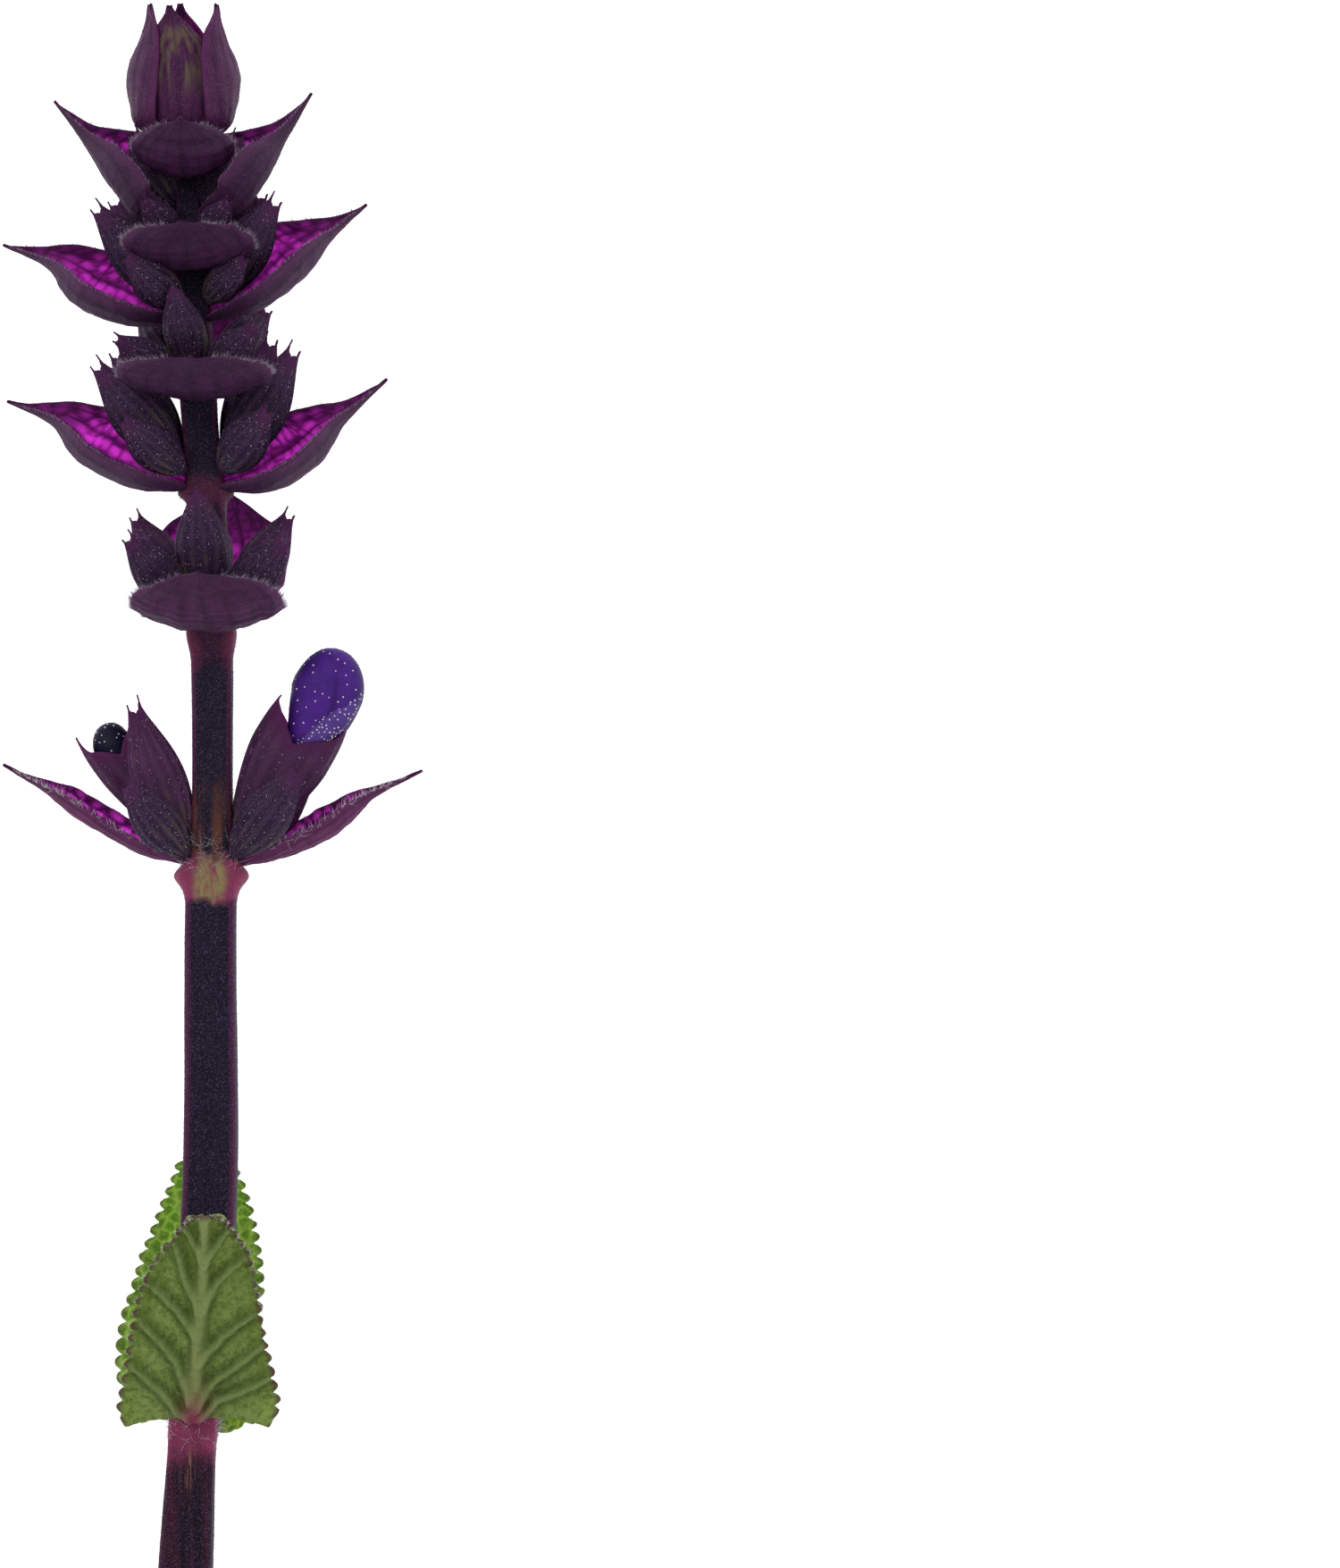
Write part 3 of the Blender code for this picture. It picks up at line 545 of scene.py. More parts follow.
bracts = {
    "cells": (40, 64),
    "wall": 0.15,
    "patternLength": 11.0,   # the length that the veins and puckers are laid out on
    "folds": {"tapered": 65.0, "bowl": 74.0},     # degrees from the midrib to a margin, round the keel
    # along the blade: share of the half width, for the side bracts and for the front and back ones
    "tapered": [(0, 0.30), (0.08, 0.55), (0.22, 0.90), (0.38, 1.0), (0.54, 0.97), (0.64, 0.82), (0.72, 0.54),
                (0.80, 0.29), (0.90, 0.13), (0.96, 0.06), (1.0, 0.012)],
    "bowl": [(0, 0.26), (0.08, 0.56), (0.22, 0.92), (0.40, 1.0), (0.58, 0.97), (0.72, 0.82), (0.84, 0.56),
             (0.93, 0.27), (0.97, 0.10), (1.0, 0.012)],
    # 1 folds it to a sharp keel
    "keeled": {"bract_2_front": 0.5, "bract_4_front": 0.3, "bract_6_front": 0.2},
    "veins": (-0.78, -0.52, -0.26, 0.0, 0.26, 0.52, 0.78),
    # 1 lets little light through; the others do so on their near half, as painted shade: the near half is
    # darkened though both halves are alike
    "thick": {"front": 1.0, "back": 0.3, "bract_4_back": 0.9},
    # for each mm of half width, and the longest one in mm
    "rimHairs": {"front": (190, 0.42), "other": (120, 0.32)},
    "hairs": 170,
    # long curled ones on the near rim of the lowest bracts
    "longHairs": {"bract_1_left": 150, "bract_1_right": 150},
    # half width, depth, roll, midrib points
    "blades": {
        "bract_1_left": (1.40, 0.95, 12, [
            (-0.9, 34.6, 0), (-3.4, 35.3, 0), (-6.2, 36.9, 0), (-8.2, 38.4, 0), (-10.0, 39.5, 0)]),
        "bract_1_right": (1.45, 1.20, 12, [
            (1.5, 34.5, 0), (4.2, 35.1, 0), (6.6, 36.3, 0), (8.3, 37.9, 0), (10.7, 39.2, 0)]),
        "bract_3_left": (3.1, 2.2, 26, [
            (-0.9, 53.1, 0), (-3.4, 53.4, 0), (-5.9, 54.6, 0), (-7.4, 56.3, 0), (-9.8, 57.4, 0)]),
        "bract_3_right": (3.1, 2.2, 26, [
            (0.7, 53.1, 0), (3.4, 53.3, 0), (5.5, 54.6, 0), (6.8, 56.4, 0), (9.0, 58.5, 0)]),
        "bract_5_left": (3.2, 2.35, 26, [
            (-1.1, 61.4, 0), (-3.7, 61.4, 0), (-6.2, 62.4, 0), (-7.6, 64.0, 0), (-10.0, 65.1, 0)]),
        "bract_5_right": (3.1, 2.2, 26, [
            (0.1, 61.4, 0), (2.7, 62.2, 0), (4.8, 63.8, 0), (6.2, 65.5, 0), (8.0, 67.1, 0)]),
        "bract_7_left": (2.6, 2.85, 25, [
            (-1.3, 66.2, 0), (-3.3, 66.6, 0), (-4.6, 68.2, 0), (-5.8, 70.0, 0), (-7.5, 72.2, 0)]),
        "bract_7_right": (2.6, 2.85, 25, [
            (-0.3, 66.2, 0), (1.6, 66.8, 0), (2.9, 68.4, 0), (3.9, 70.2, 0), (5.3, 72.6, 0)]),
        "bract_2_front": (3.7, 1.05, 0, [
            (0.3, 46.0, 0.8), (0.35, 46.1, 3.2), (0.3, 46.65, 5.2), (0.2, 47.6, 6.8), (0.1, 48.8, 8.2)]),
        "bract_2_back": (3.4, 1.1, 0, [
            (0.25, 46.4, -0.8), (0.3, 47.4, -3.9), (0.4, 49.2, -6.7), (0.5, 51.3, -8.6), (0.6, 53.4, -8.9)]),
        "bract_4_front": (3.75, 1.0, 0, [
            (-0.35, 57.4, 0.7), (-0.3, 57.5, 3.0), (-0.35, 57.85, 4.8), (-0.4, 58.5, 6.4), (-0.4, 59.2, 7.8)]),
        "bract_4_back": (2.7, 1.1, 0, [
            (-0.35, 57.8, -0.7), (-0.3, 58.6, -3.7), (-0.2, 60.0, -6.5), (-0.1, 61.6, -8.5), (0.0, 62.9, -8.8)]),
        "bract_6_front": (3.2, 0.95, 0, [
            (-0.7, 63.8, 0.5), (-0.65, 63.85, 2.6), (-0.65, 64.25, 4.2), (-0.7, 65.0, 5.6), (-0.8, 65.8, 6.9)]),
        "bract_6_back": (3.0, 1.1, 0, [
            (-0.7, 64.1, -0.5), (-0.7, 64.8, -3.1), (-0.7, 65.9, -5.6), (-0.7, 67.1, -7.9), (-0.7, 68.4, -8.6)]),
        "bract_8_front": (2.5, 1.15, 0, [
            (-0.95, 68.5, 0.4), (-0.95, 68.4, 2.3), (-0.95, 69.0, 3.5), (-0.95, 69.95, 4.3), (-0.95, 71.0, 4.9)]),
        "bract_8_back": (2.0, 1.2, 0, [
            (-0.95, 68.7, -0.4), (-1.0, 68.9, -2.3), (-1.0, 69.2, -3.6), (-1.0, 70.3, -4.6), (-1.0, 71.6, -5.4)]),
    },
}


def veinMarks(u, v, flat, seed):                  # long veins to the tip, and the fine mesh between them
    veins = np.zeros(len(u))
    for place in bracts["veins"]:
        width, height = (0.065, 1.0) if place == 0.0 else (0.048, 0.85)
        lean = place * (1 - 0.25 * hump(0.0, 0.25, u)) + 0.02 * np.sin(9 * u + 7 * place + seed)
        veins = np.maximum(veins, hump(lean, width * (1 - 0.5 * u), v) * height)
    fine = network(flat, 0.70, (4.2, 12.0), seed)
    return veins, np.exp(-(fine / (0.05 + 0.10 * np.abs(v) ** 2)) ** 2)


def bractSurface(name, fine=True):
    halfWidth, depth, roll, keel = bracts["blades"][name]
    number, where = name.split("_")[1:]
    form = "tapered" if where in ("left", "right") else "bowl"
    near = np.array((0.0, 0.0, 1.0) if form == "tapered" else (1.0, 0.0, 0.0))    # where the near margin points
    seed = seedOf(name)
    keeled = bracts["keeled"].get(name, 0.0)
    spread, turn = math.radians(bracts["folds"][form]), math.radians(roll)
    uneven = 0.11 if where == "front" else 0.05

    def surface(u, v):
        spine, along = followPath(keel, u)
        side = unit(near - along * (along @ near)[:, None])
        inner = np.cross(side, along)
        inner = inner * np.where(inner[:, 1:2] < 0, -1.0, 1.0)
        side, inner = (side * math.cos(turn) - inner * math.sin(turn),
                       inner * math.cos(turn) + side * math.sin(turn))
        width = course(bracts[form], u)[0]
        flat = np.stack([v * halfWidth * width, u * bracts["patternLength"]], 1)
        wave = uneven * ripple(np.stack([u * 9, np.sign(v) * 3], 1), 1.1, seed + 2) * np.abs(v) ** 4
        across = halfWidth * width * np.sin(v * spread) / math.sin(spread)
        lift = (1 - np.cos(v * spread)) / (1 - math.cos(spread))
        lift = depth * width * (lift + keeled * (np.abs(v) - lift))
        points = spine + side * across[:, None] + inner * (lift + wave)[:, None]
        veins, mesh = veinMarks(u, v, flat, seed) if fine else (0 * u, 0 * u)
        relief = -0.04 * veins - 0.018 * mesh + uneven * ripple(flat, 0.8, seed + 1)
        points = points + inner * (relief * width ** 0.5)[:, None]
        # painted shade: the near half of the side bracts lets less light through
        thick = bracts["thick"].get(name, bracts["thick"].get(where, ease(-0.2, 0.35, v)))
        # painted shade: the upper whorls' bracts are given a darker colour
        marks = {"veins": veins, "mesh": mesh, "edge": np.abs(v), "tip": ease(0.60, 0.82, u),
                 "thick": thick + 0 * u, "paintedShade": min(1.0, (int(number) - 1) / 1.2) + 0 * u}
        return restOnSurface(points), marks

    return surface


def bractFinish(name, inside):
    f = Finish(name)
    veins, mesh, edge, tip, thick = f.marks("veins", "mesh", "edge", "tip", "thick")
    cloud = f.noise(0.9, 4.0)
    grain = f.noise(0.10, 4.0, 0.7)
    if inside:
        skin = f.layers(
            f.blend(cloud, (0.17, 0.016, 0.16), (0.30, 0.040, 0.27)),
            (f.maths("MAXIMUM", veins, mesh * 0.8) * 0.8, (0.045, 0.008, 0.045)))
    else:
        plum = f.blend(cloud, (0.070, 0.014, 0.058), (0.20, 0.036, 0.145))
        # painted shade: the darker colour laid on the upper whorls' bracts
        shadeColour = f.blend(cloud, (0.026, 0.011, 0.034), (0.085, 0.030, 0.086))
        skin = f.layers(
            f.blend(*f.marks("paintedShade"), plum, shadeColour),
            (f.between(0.45, 0.70, grain) * 0.4, (0.18, 0.075, 0.17)),
            (veins * 0.35, (0.018, 0.006, 0.022)))
    rim = f.between(0.80, 1.0, edge)
    skin = f.layers(skin, (rim * 0.35, (0.20, 0.05, 0.18)), (tip * 0.3, (0.050, 0.014, 0.040)))
    light = f.layers(
        (0.95, 0.22, 0.90),
        (mesh * (0.60 + 0.40 * f.between(0.35, 0.90, edge)), (0.12, 0.012, 0.12)),
        (veins * 0.85, (0.13, 0.012, 0.14)))
    # painted shade: where thick is high, less light comes through, which darkens the near halves
    share = (0.92 if inside else 0.74) * (1.0 - (0.4 if inside else 0.88) * thick)
    share = share * (1.0 - 0.45 * veins) * (1.0 - 0.60 * rim) * (1.0 - 0.60 * tip)
    share = share * (1.0 - 0.35 * f.between(0.4, 0.7, cloud))
    return f.surface(skin, 0.65, f.bump(grain + veins * 0.6 + mesh * 0.4, 0.05, 0.6), light, share, gloss=0.12)


def outerWay(name, down):                         # out from the stem and down, off a bract's outer side
    return np.array(bracts["blades"][name][-1][1]) * (1, 0, 1) - (0, down, 0)


def makeBracts():
    finishes = [bractFinish("bractOuter", False), bractFinish("bractInner", True)]
    for name in bracts["blades"]:
        mesh = shapedGrid(name + "_blade", *bracts["cells"], bractSurface(name))
        addPiece(mesh, finishes, [name], bracts["wall"], outerWay(name, 6.0))
    print("bracts done")


makeBracts()


def bractHairs():
    feet, ways, lengths, downFeet, downWays = [], [], [], [], []
    for number, (name, blade) in enumerate(bracts["blades"].items()):
        rng = np.random.default_rng(100 + number)
        surface = bractSurface(name, fine=False)
        rimHairs, longest = bracts["rimHairs"]["front" if "front" in name else "other"]
        count = int(rimHairs * blade[0])
        u = rng.uniform(0.03, 0.93, count)
        v = np.sign(rng.uniform(-1, 1, count))
        at, _, up, across = probe(surface, u, v * 0.996)
        lift = unit(at - smoothPath(blade[-1], u))
        feet.append(at)
        ways.append(across * v[:, None] * 0.9 + lift * 0.3 + up * 0.55 + rng.normal(size=at.shape) * 0.30)
        lengths.append(rng.uniform(0.10, longest, count))
        count = int(bracts["hairs"] * blade[0])
        u, v = rng.uniform(0.02, 0.9, count), rng.uniform(-1, 1, count)
        at, way = leaningHairs(rng, surface, u, v, lambda at: outerWay(name, 3.0))
        downFeet.append(at)
        downWays.append(way)
    scatter("bract_fringe", "down", feet, ways, lengths, 0.009, fringeDown, seed=31)
    lengths = np.random.default_rng(33).uniform(0.06, 0.16, len(np.vstack(downFeet)))
    scatter("bract_down", "down", downFeet, downWays, lengths, 0.007, dimDown, seed=34)
    feet, ways = [], []
    rng = np.random.default_rng(38)
    for name, count in bracts["longHairs"].items():
        u, v = rng.uniform(0.15, 0.92, count), rng.uniform(0.88, 1.0, count)
        feet.append(bractSurface(name, fine=False)(u, v)[0])
        ways.append((0, 1.0, 0.35) + rng.normal(size=(count, 3)) * 0.5)
    lengths = rng.uniform(0.2, 0.5, len(np.vstack(feet)))
    scatter("bract_long_hairs", "hair", feet, ways, lengths, 0.014, paleDown, 0.9, 39)
    print("bract hairs done")


bractHairs()


# Calyces: ribbed two-lipped tubes with awned teeth.

calyces = {
    "cells": (66, 26),
    "wall": 0.09,
    "ribs": 13,
    "ribHeight": 0.095,
    "toothWidth": 25,        # degrees
    "middle": 0.45,          # where the inside's middle is, as a share of the length
    "hairs": 240,
    "paleGlands": 120,
    "goldGlands": 30,
    "shut": {
        # along the tube: share of the half width
        "profile": [(0, 0.12), (0.05, 0.30), (0.16, 0.62), (0.32, 0.92), (0.46, 1.0), (0.62, 0.86), (0.76, 0.57),
                    (0.87, 0.34), (0.93, 0.26), (1.0, 0.27)],
        "sinus": 0.89,       # where the two lips part, as a share of the length
        "crest": 0.92,       # where the lips end and the teeth start
        "arch": 0.45,        # below 1 for broad lips
        "pressed": 0.55,     # how much flatter the mouth is than the tube
        "bow": 0.05,         # how far the tip bends over, as a share of the length
        # degrees from the upper lip's middle, and how far they stand out
        "teeth": [(0, 0.07), (-38, 0.03), (38, 0.03), (166, 0.045), (194, 0.045)],
    },
    "open": {
        "profile": [(0, 0.12), (0.06, 0.30), (0.22, 0.58), (0.45, 0.88), (0.66, 1.0), (0.84, 0.98), (1.0, 0.86)],
        "sinus": 0.70,
        "crest": 0.90,
        "arch": 0.7,
        "pressed": 0.0,
        "bow": 0.0,
        "teeth": [(0, 0.01), (-26, 0.0), (26, 0.0), (170, 0.08), (192, 0.06)],
    },
    "opened": ("calyx_1_left_outer", "calyx_1_right_top"),
    # foot, tip, half width, half thickness
    "tubes": {
        "calyx_1_left_top": ((-0.85, 35.3, 0.35), (-4.0, 42.8, 1.0), 1.32, 0.82),
        "calyx_1_left_front": ((-0.75, 35.0, 1.2), (-4.1, 38.7, 3.0), 1.12, 0.80),
        "calyx_1_right_front": ((1.3, 35.0, 1.2), (5.15, 39.3, 3.0), 1.22, 0.80),
        "calyx_1_right_low": ((1.5, 35.3, -0.7), (5.6, 38.9, -1.2), 1.0, 0.70),
        "calyx_2_front_middle": ((0.2, 47.4, 1.4), (-0.3, 53.3, 3.4), 1.30, 0.85),
        "calyx_2_front_left": ((-0.6, 47.2, 1.4), (-4.0, 50.7, 3.9), 1.15, 0.80),
        "calyx_2_front_right": ((1.0, 47.2, 1.4), (4.5, 50.6, 3.9), 1.20, 0.80),
        "calyx_2_back_left": ((-0.9, 47.4, -0.8), (-4.0, 52.0, -2.0), 1.15, 0.80),
        "calyx_2_back_right": ((1.3, 47.4, -0.8), (4.45, 52.1, -2.0), 1.15, 0.80),
        "calyx_2_back_middle": ((0.2, 47.6, -1.4), (0.2, 52.6, -3.8), 1.00, 0.80),
        "calyx_3_left_top": ((-1.2, 54.4, -0.3), (-5.0, 60.1, -0.9), 1.25, 0.80),
        "calyx_3_left_outer": ((-1.1, 54.2, 0.8), (-5.8, 59.3, 1.6), 1.25, 0.75),
        "calyx_3_left_front": ((-0.9, 53.9, 1.3), (-4.2, 56.4, 4.0), 1.05, 0.85),
        "calyx_3_right_top": ((1.0, 54.4, -0.3), (3.65, 60.8, -0.9), 1.25, 0.80),
        "calyx_3_right_outer": ((0.9, 54.2, 0.8), (4.95, 60.1, 1.6), 1.35, 0.75),
        "calyx_3_right_front": ((0.8, 53.9, 1.3), (3.6, 56.9, 4.0), 1.15, 0.85),
        "calyx_4_front_middle": ((-0.4, 58.7, 1.25), (-1.5, 63.2, 3.2), 1.0, 0.78),
        "calyx_4_front_left": ((-1.0, 58.6, 1.2), (-4.5, 60.3, 3.8), 0.90, 0.78),
        "calyx_4_front_right": ((0.2, 58.6, 1.2), (2.9, 61.0, 3.8), 1.0, 0.78),
        "calyx_4_back_left": ((-1.1, 58.8, -0.8), (-3.7, 62.1, -2.7), 1.0, 0.75),
        "calyx_4_back_right": ((0.3, 58.8, -0.8), (3.3, 62.2, -2.7), 1.05, 0.75),
        "calyx_5_left_top": ((-1.15, 62.3, -0.3), (-5.0, 67.6, -0.8), 1.45, 0.75),
        "calyx_5_left_outer": ((-1.15, 62.2, 0.7), (-5.8, 67.0, 1.5), 1.25, 0.70),
        "calyx_5_left_front": ((-1.0, 62.0, 1.1), (-4.0, 64.4, 3.7), 1.0, 0.80),
        "calyx_5_right_top": ((0.15, 62.4, -0.3), (3.1, 68.0, -0.8), 1.45, 0.75),
        "calyx_5_right_outer": ((0.15, 62.3, 0.7), (4.0, 67.4, 1.5), 1.25, 0.70),
        "calyx_5_right_front": ((0.0, 62.3, 1.1), (2.4, 64.3, 3.9), 0.85, 0.70),
        "calyx_6_front_left": ((-1.0, 64.9, 1.1), (-3.1, 67.1, 4.3), 0.85, 0.65),
        "calyx_6_front_right": ((-0.4, 64.9, 1.1), (1.6, 67.1, 4.2), 0.85, 0.65),
        "calyx_7_left": ((-1.3, 66.9, 0.0), (-3.9, 70.8, 0.5), 1.20, 0.80),
        "calyx_7_right": ((-0.3, 66.9, 0.0), (1.95, 70.7, 0.5), 1.20, 0.80),
        "calyx_1_left_outer": ((-1.05, 35.6, -0.9), (-5.5, 41.9, -1.7), 1.62, 1.10),
        "calyx_1_right_top": ((1.5, 35.7, 0.3), (5.7, 42.7, 0.4), 2.02, 1.20),
    },
}


def calyxFrame(name):
    foot, tip = np.array(calyces["tubes"][name][:2])
    length = np.linalg.norm(tip - foot)
    along = (tip - foot) / length
    wide = np.cross(along, (0, 0, 1))
    wide = wide / np.linalg.norm(wide) if np.linalg.norm(wide) > 0.2 else np.array([1.0, 0, 0])
    stemSide = course(stem["axis"], foot[1])[0] - (foot[0] + tip[0]) / 2
    upper = 0.0 if stemSide * wide[0] > 0 else 180.0           # the upper lip is on the stem's side
    if "middle" in name:
        upper = -90.0 * np.sign(foot[2])
    return foot, along, wide, np.cross(wide, along), length, upper


def calyxSurface(name):
    foot, along, wide, thick, length, upper = calyxFrame(name)
    halfWidth, halfThickness = calyces["tubes"][name][2:]
    form = calyces["open" if name in calyces["opened"] else "shut"]
    # painted shade: darker on the upper whorls and on the front calyces
    paintedShade = min(1.0, (int(name.split("_")[1]) - 1) / 2 + ("front" in name))

    def surface(u, v):
        angle = math.pi * v
        fromUpper = np.degrees(angle) - upper
        lip = np.abs((fromUpper + 90) % 180 - 90) / 86          # 0 at a lip's middle, 1 at the sinus
        reach = form["sinus"] + (form["crest"] - form["sinus"]) * np.clip(1 - lip, 0, 1) ** form["arch"]
        for middle, height in form["teeth"]:
            gap = np.abs((fromUpper - middle + 180) % 360 - 180) / calyces["toothWidth"]
            reach = reach + height * np.clip(1 - gap, 0, 1) ** 1.2
        s = reach * u
        share = course(form["profile"], s)[0]
        ribs = np.cos(angle * calyces["ribs"]) * 0.5 + 0.5
        fade = ease(0.02, 0.15, s) * ease(1.0, 0.7, s)
        rough = ripple(np.stack([np.cos(angle), np.sin(angle), s * 3], 1), 1.2, seedOf(name))
        share = share * (1 + 0.04 * rough) + calyces["ribHeight"] * (ribs ** 2 - 0.4) * fade / halfWidth
        flat = 1 - form["pressed"] * ease(0.55, 0.95, s)
        bow = form["bow"] * length * s ** 2.5 * np.cos(np.radians(upper))
        points = foot + along * (length * s)[:, None] + wide * (halfWidth * share * np.cos(angle) + bow)[:, None]
        points = points + thick * (halfThickness * share * flat * np.sin(angle))[:, None]
        marks = {"rib": ribs ** 3 * ease(0.02, 0.15, s), "rim": ease(0.80, 1.0, u), "reach": s,
                 "paintedShade": paintedShade + 0 * u}
        return points, marks

    return surface


def calyxFinish():
    f = Finish("calyxSkin")
    rib, reach, rim, paintedShade = f.marks("rib", "reach", "rim", "paintedShade")
    cloud = f.noise(0.8, 4.0)
    grain = f.noise(0.06, 3.0, 0.6)
    plum = f.blend(cloud, (0.070, 0.020, 0.074), (0.185, 0.058, 0.165))
    # painted shade: the darker colour for the upper whorls and the front calyces
    shadeColour = f.blend(cloud, (0.008, 0.008, 0.023), (0.048, 0.024, 0.064))
    ends = f.blend(cloud, (0.055, 0.013, 0.058), (0.13, 0.030, 0.115))
    gold = rib * f.between(0.60, 0.15, reach) * f.between(0.45, 0.62, f.noise(1.8, 2.0))
    skin = f.layers(
        plum,
        # painted shade on the upper whorls and the front calyces; also darker towards the foot
        (paintedShade * 0.8 + f.between(0.75, 0.25, reach) * 0.2, shadeColour),
        (f.between(0.5, 0.95, reach) * (0.65 - paintedShade * 0.48), ends),
        (f.between(0.5, 0.05, rib) * 0.35, (0.006, 0.004, 0.014)),     # painted shade in the grooves between the ribs
        (rib * 0.40, (0.070, 0.024, 0.085)),
        (gold * 0.8, (0.15, 0.13, 0.045)),
        (rim * 0.6, (0.18, 0.040, 0.17)),
        (f.between(0.50, 0.68, grain) * 0.55, (0.22, 0.13, 0.24)))
    share = rim * 0.30 + (1.0 - paintedShade) * 0.16
    return f.surface(skin, 0.5, f.bump(grain + rib * 0.4, 0.05, 0.6), (0.60, 0.09, 0.48), share, gloss=0.12)


paleGland = Finish("paleGland").surface((0.90, 0.86, 0.92), 0.25)
dimGland = Finish("dimGland").surface((0.58, 0.50, 0.62), 0.25)
goldGland = Finish("goldGland").surface((0.62, 0.50, 0.20), 0.25)


def makeCalyces():
    skin = calyxFinish()
    feet, ways, lengths, pale, gold = [], [], [], [], []
    for number, (name, tube) in enumerate(calyces["tubes"].items()):
        surface = calyxSurface(name)
        foot, tip = np.array(tube[:2])
        middle = foot + (tip - foot) * calyces["middle"]
        mesh = shapedGrid(name + "_tube", *calyces["cells"], surface, tube=True)
        centre = toFrame(middle)
        turnOutward(mesh, lambda face: (np.array(face.calc_center_median()) - centre) @ np.array(face.normal))
        addPiece(mesh, [skin, skin], [name], calyces["wall"])
        rng = np.random.default_rng(300 + number)
        count = calyces["hairs"]
        u, v = rng.uniform(0.05, 1.0, count) ** 0.8, rng.uniform(-1, 1, count)
        at, way = leaningHairs(rng, surface, u, v, lambda at: at - middle, 0.75, 0.7, 0.2)
        feet.append(at)
        ways.append(way)
        lengths.append(rng.uniform(0.06, 0.16, count) * (1 + 0.5 * u))
        count = calyces["paleGlands"] + calyces["goldGlands"]
        u = rng.uniform(0.1, 0.92, count)
        v = (rng.integers(0, calyces["ribs"], count) * 2 / calyces["ribs"] - 1) + rng.normal(size=count) * 0.02
        at = surface(u, v)[0]                     # in rows between the ribs
        pale.append(at[:calyces["paleGlands"]])
        gold.append(at[calyces["paleGlands"]:])
    scatter("calyx_hairs", "down", feet, ways, lengths, 0.007, dimDown, seed=35)
    for name, spots, finish in (("calyx_pale_glands", pale, dimGland), ("calyx_gold_glands", gold, goldGland)):
        spots = np.vstack(spots)
        sizes = np.random.default_rng(36).uniform(0.018, 0.032, len(spots))
        scatterGlands(name, spots, sizes, finish, 37)
    print("calyces done")


makeCalyces()


# Flowers: the hooded violet one at the right, and the dark bud at the left.

flowers = {
    # path up the middle; rows of place and half width, the last where the round end starts; depth as a share of
    # the width; fold down the front, which also sets painted shade along it; glands and the least gap between
    # them; cells
    "right": {
        "path": [(3.5, 38.6, 0.35), (4.75, 40.4, 0.40), (5.62, 42.0, 0.40), (6.12, 43.5, 0.40),
                 (6.45, 45.3, 0.40)],
        "across": [(0, 0.35), (0.25, 0.95), (0.5, 1.60), (0.68, 1.80)],
        "deep": 0.66,
        "fold": 0.6,
        "glands": 130,
        "gap": 0.34,
        "cells": (96, 110),
    },
    "lip": {
        "path": [(4.3, 39.6, 0.9), (5.2, 40.75, 1.0), (6.25, 41.6, 1.05), (7.1, 42.6, 0.85), (7.45, 43.7, 0.5)],
        "across": [(0, 0.30), (0.3, 0.52), (0.55, 0.62), (0.72, 0.50)],
        "deep": 0.75,
        "fold": 0.0,
        "glands": 200,
        "gap": 0.15,
        "cells": (48, 60),
    },
    "left": {
        "path": [(-3.1, 38.3, -1.4), (-4.1, 39.4, -1.65), (-4.65, 40.4, -1.75), (-4.95, 41.65, -1.8)],
        "across": [(0, 0.3), (0.3, 0.68), (0.55, 0.93), (0.68, 0.98)],
        "deep": 0.75,
        "fold": 0.0,
        "glands": 90,
        "gap": 0.22,
        "cells": (64, 70),
    },
}


def petalSurface(form):
    def surface(u, v):
        angle = math.pi * v
        c, s = np.cos(angle), np.sin(angle)
        spine, along = followPath(form["path"], u)
        wide = unit(np.cross(along, (0, 0, 1)))
        thick = np.cross(wide, along)
        start = form["across"][-1][0]
        closing = np.sqrt(np.clip(1 - (np.clip(u - start, 0, 1) / (1 - start)) ** 2, 0, 1))
        fold = form["fold"] * hump(0.35 - 0.5 * (u - 0.5), 0.10, c) * (s > 0)
        fold = fold * ease(0.25, 0.5, u) * ease(0.92, 0.7, u)
        reach = course(form["across"], u)[0] * closing * (1 - 0.10 * fold)
        points = spine + wide * (reach * c)[:, None] + thick * (reach * form["deep"] * s)[:, None]
        return points, {"fold": fold, "side": np.abs(c) ** 3}

    return surface


def petalFinish(name, deep, bright, shade):
    f = Finish(name)
    fold, side = f.marks("fold", "side")
    grain = f.noise(0.045, 2.0, 0.5)
    skin = f.layers(
        f.blend(f.noise(0.8, 3.0), deep, bright),
        # painted shade along the fold and towards the sides
        (f.maths("MAXIMUM", fold * 0.8, side * shade), tuple(c * 0.35 for c in deep)),
        (f.between(0.55, 0.75, grain) * 0.35, tuple(min(1.0, c * 2.2) for c in bright)))
    return f.surface(skin, 0.45, f.bump(grain, 0.03, 0.5), bright, 0.15, gloss=0.2)


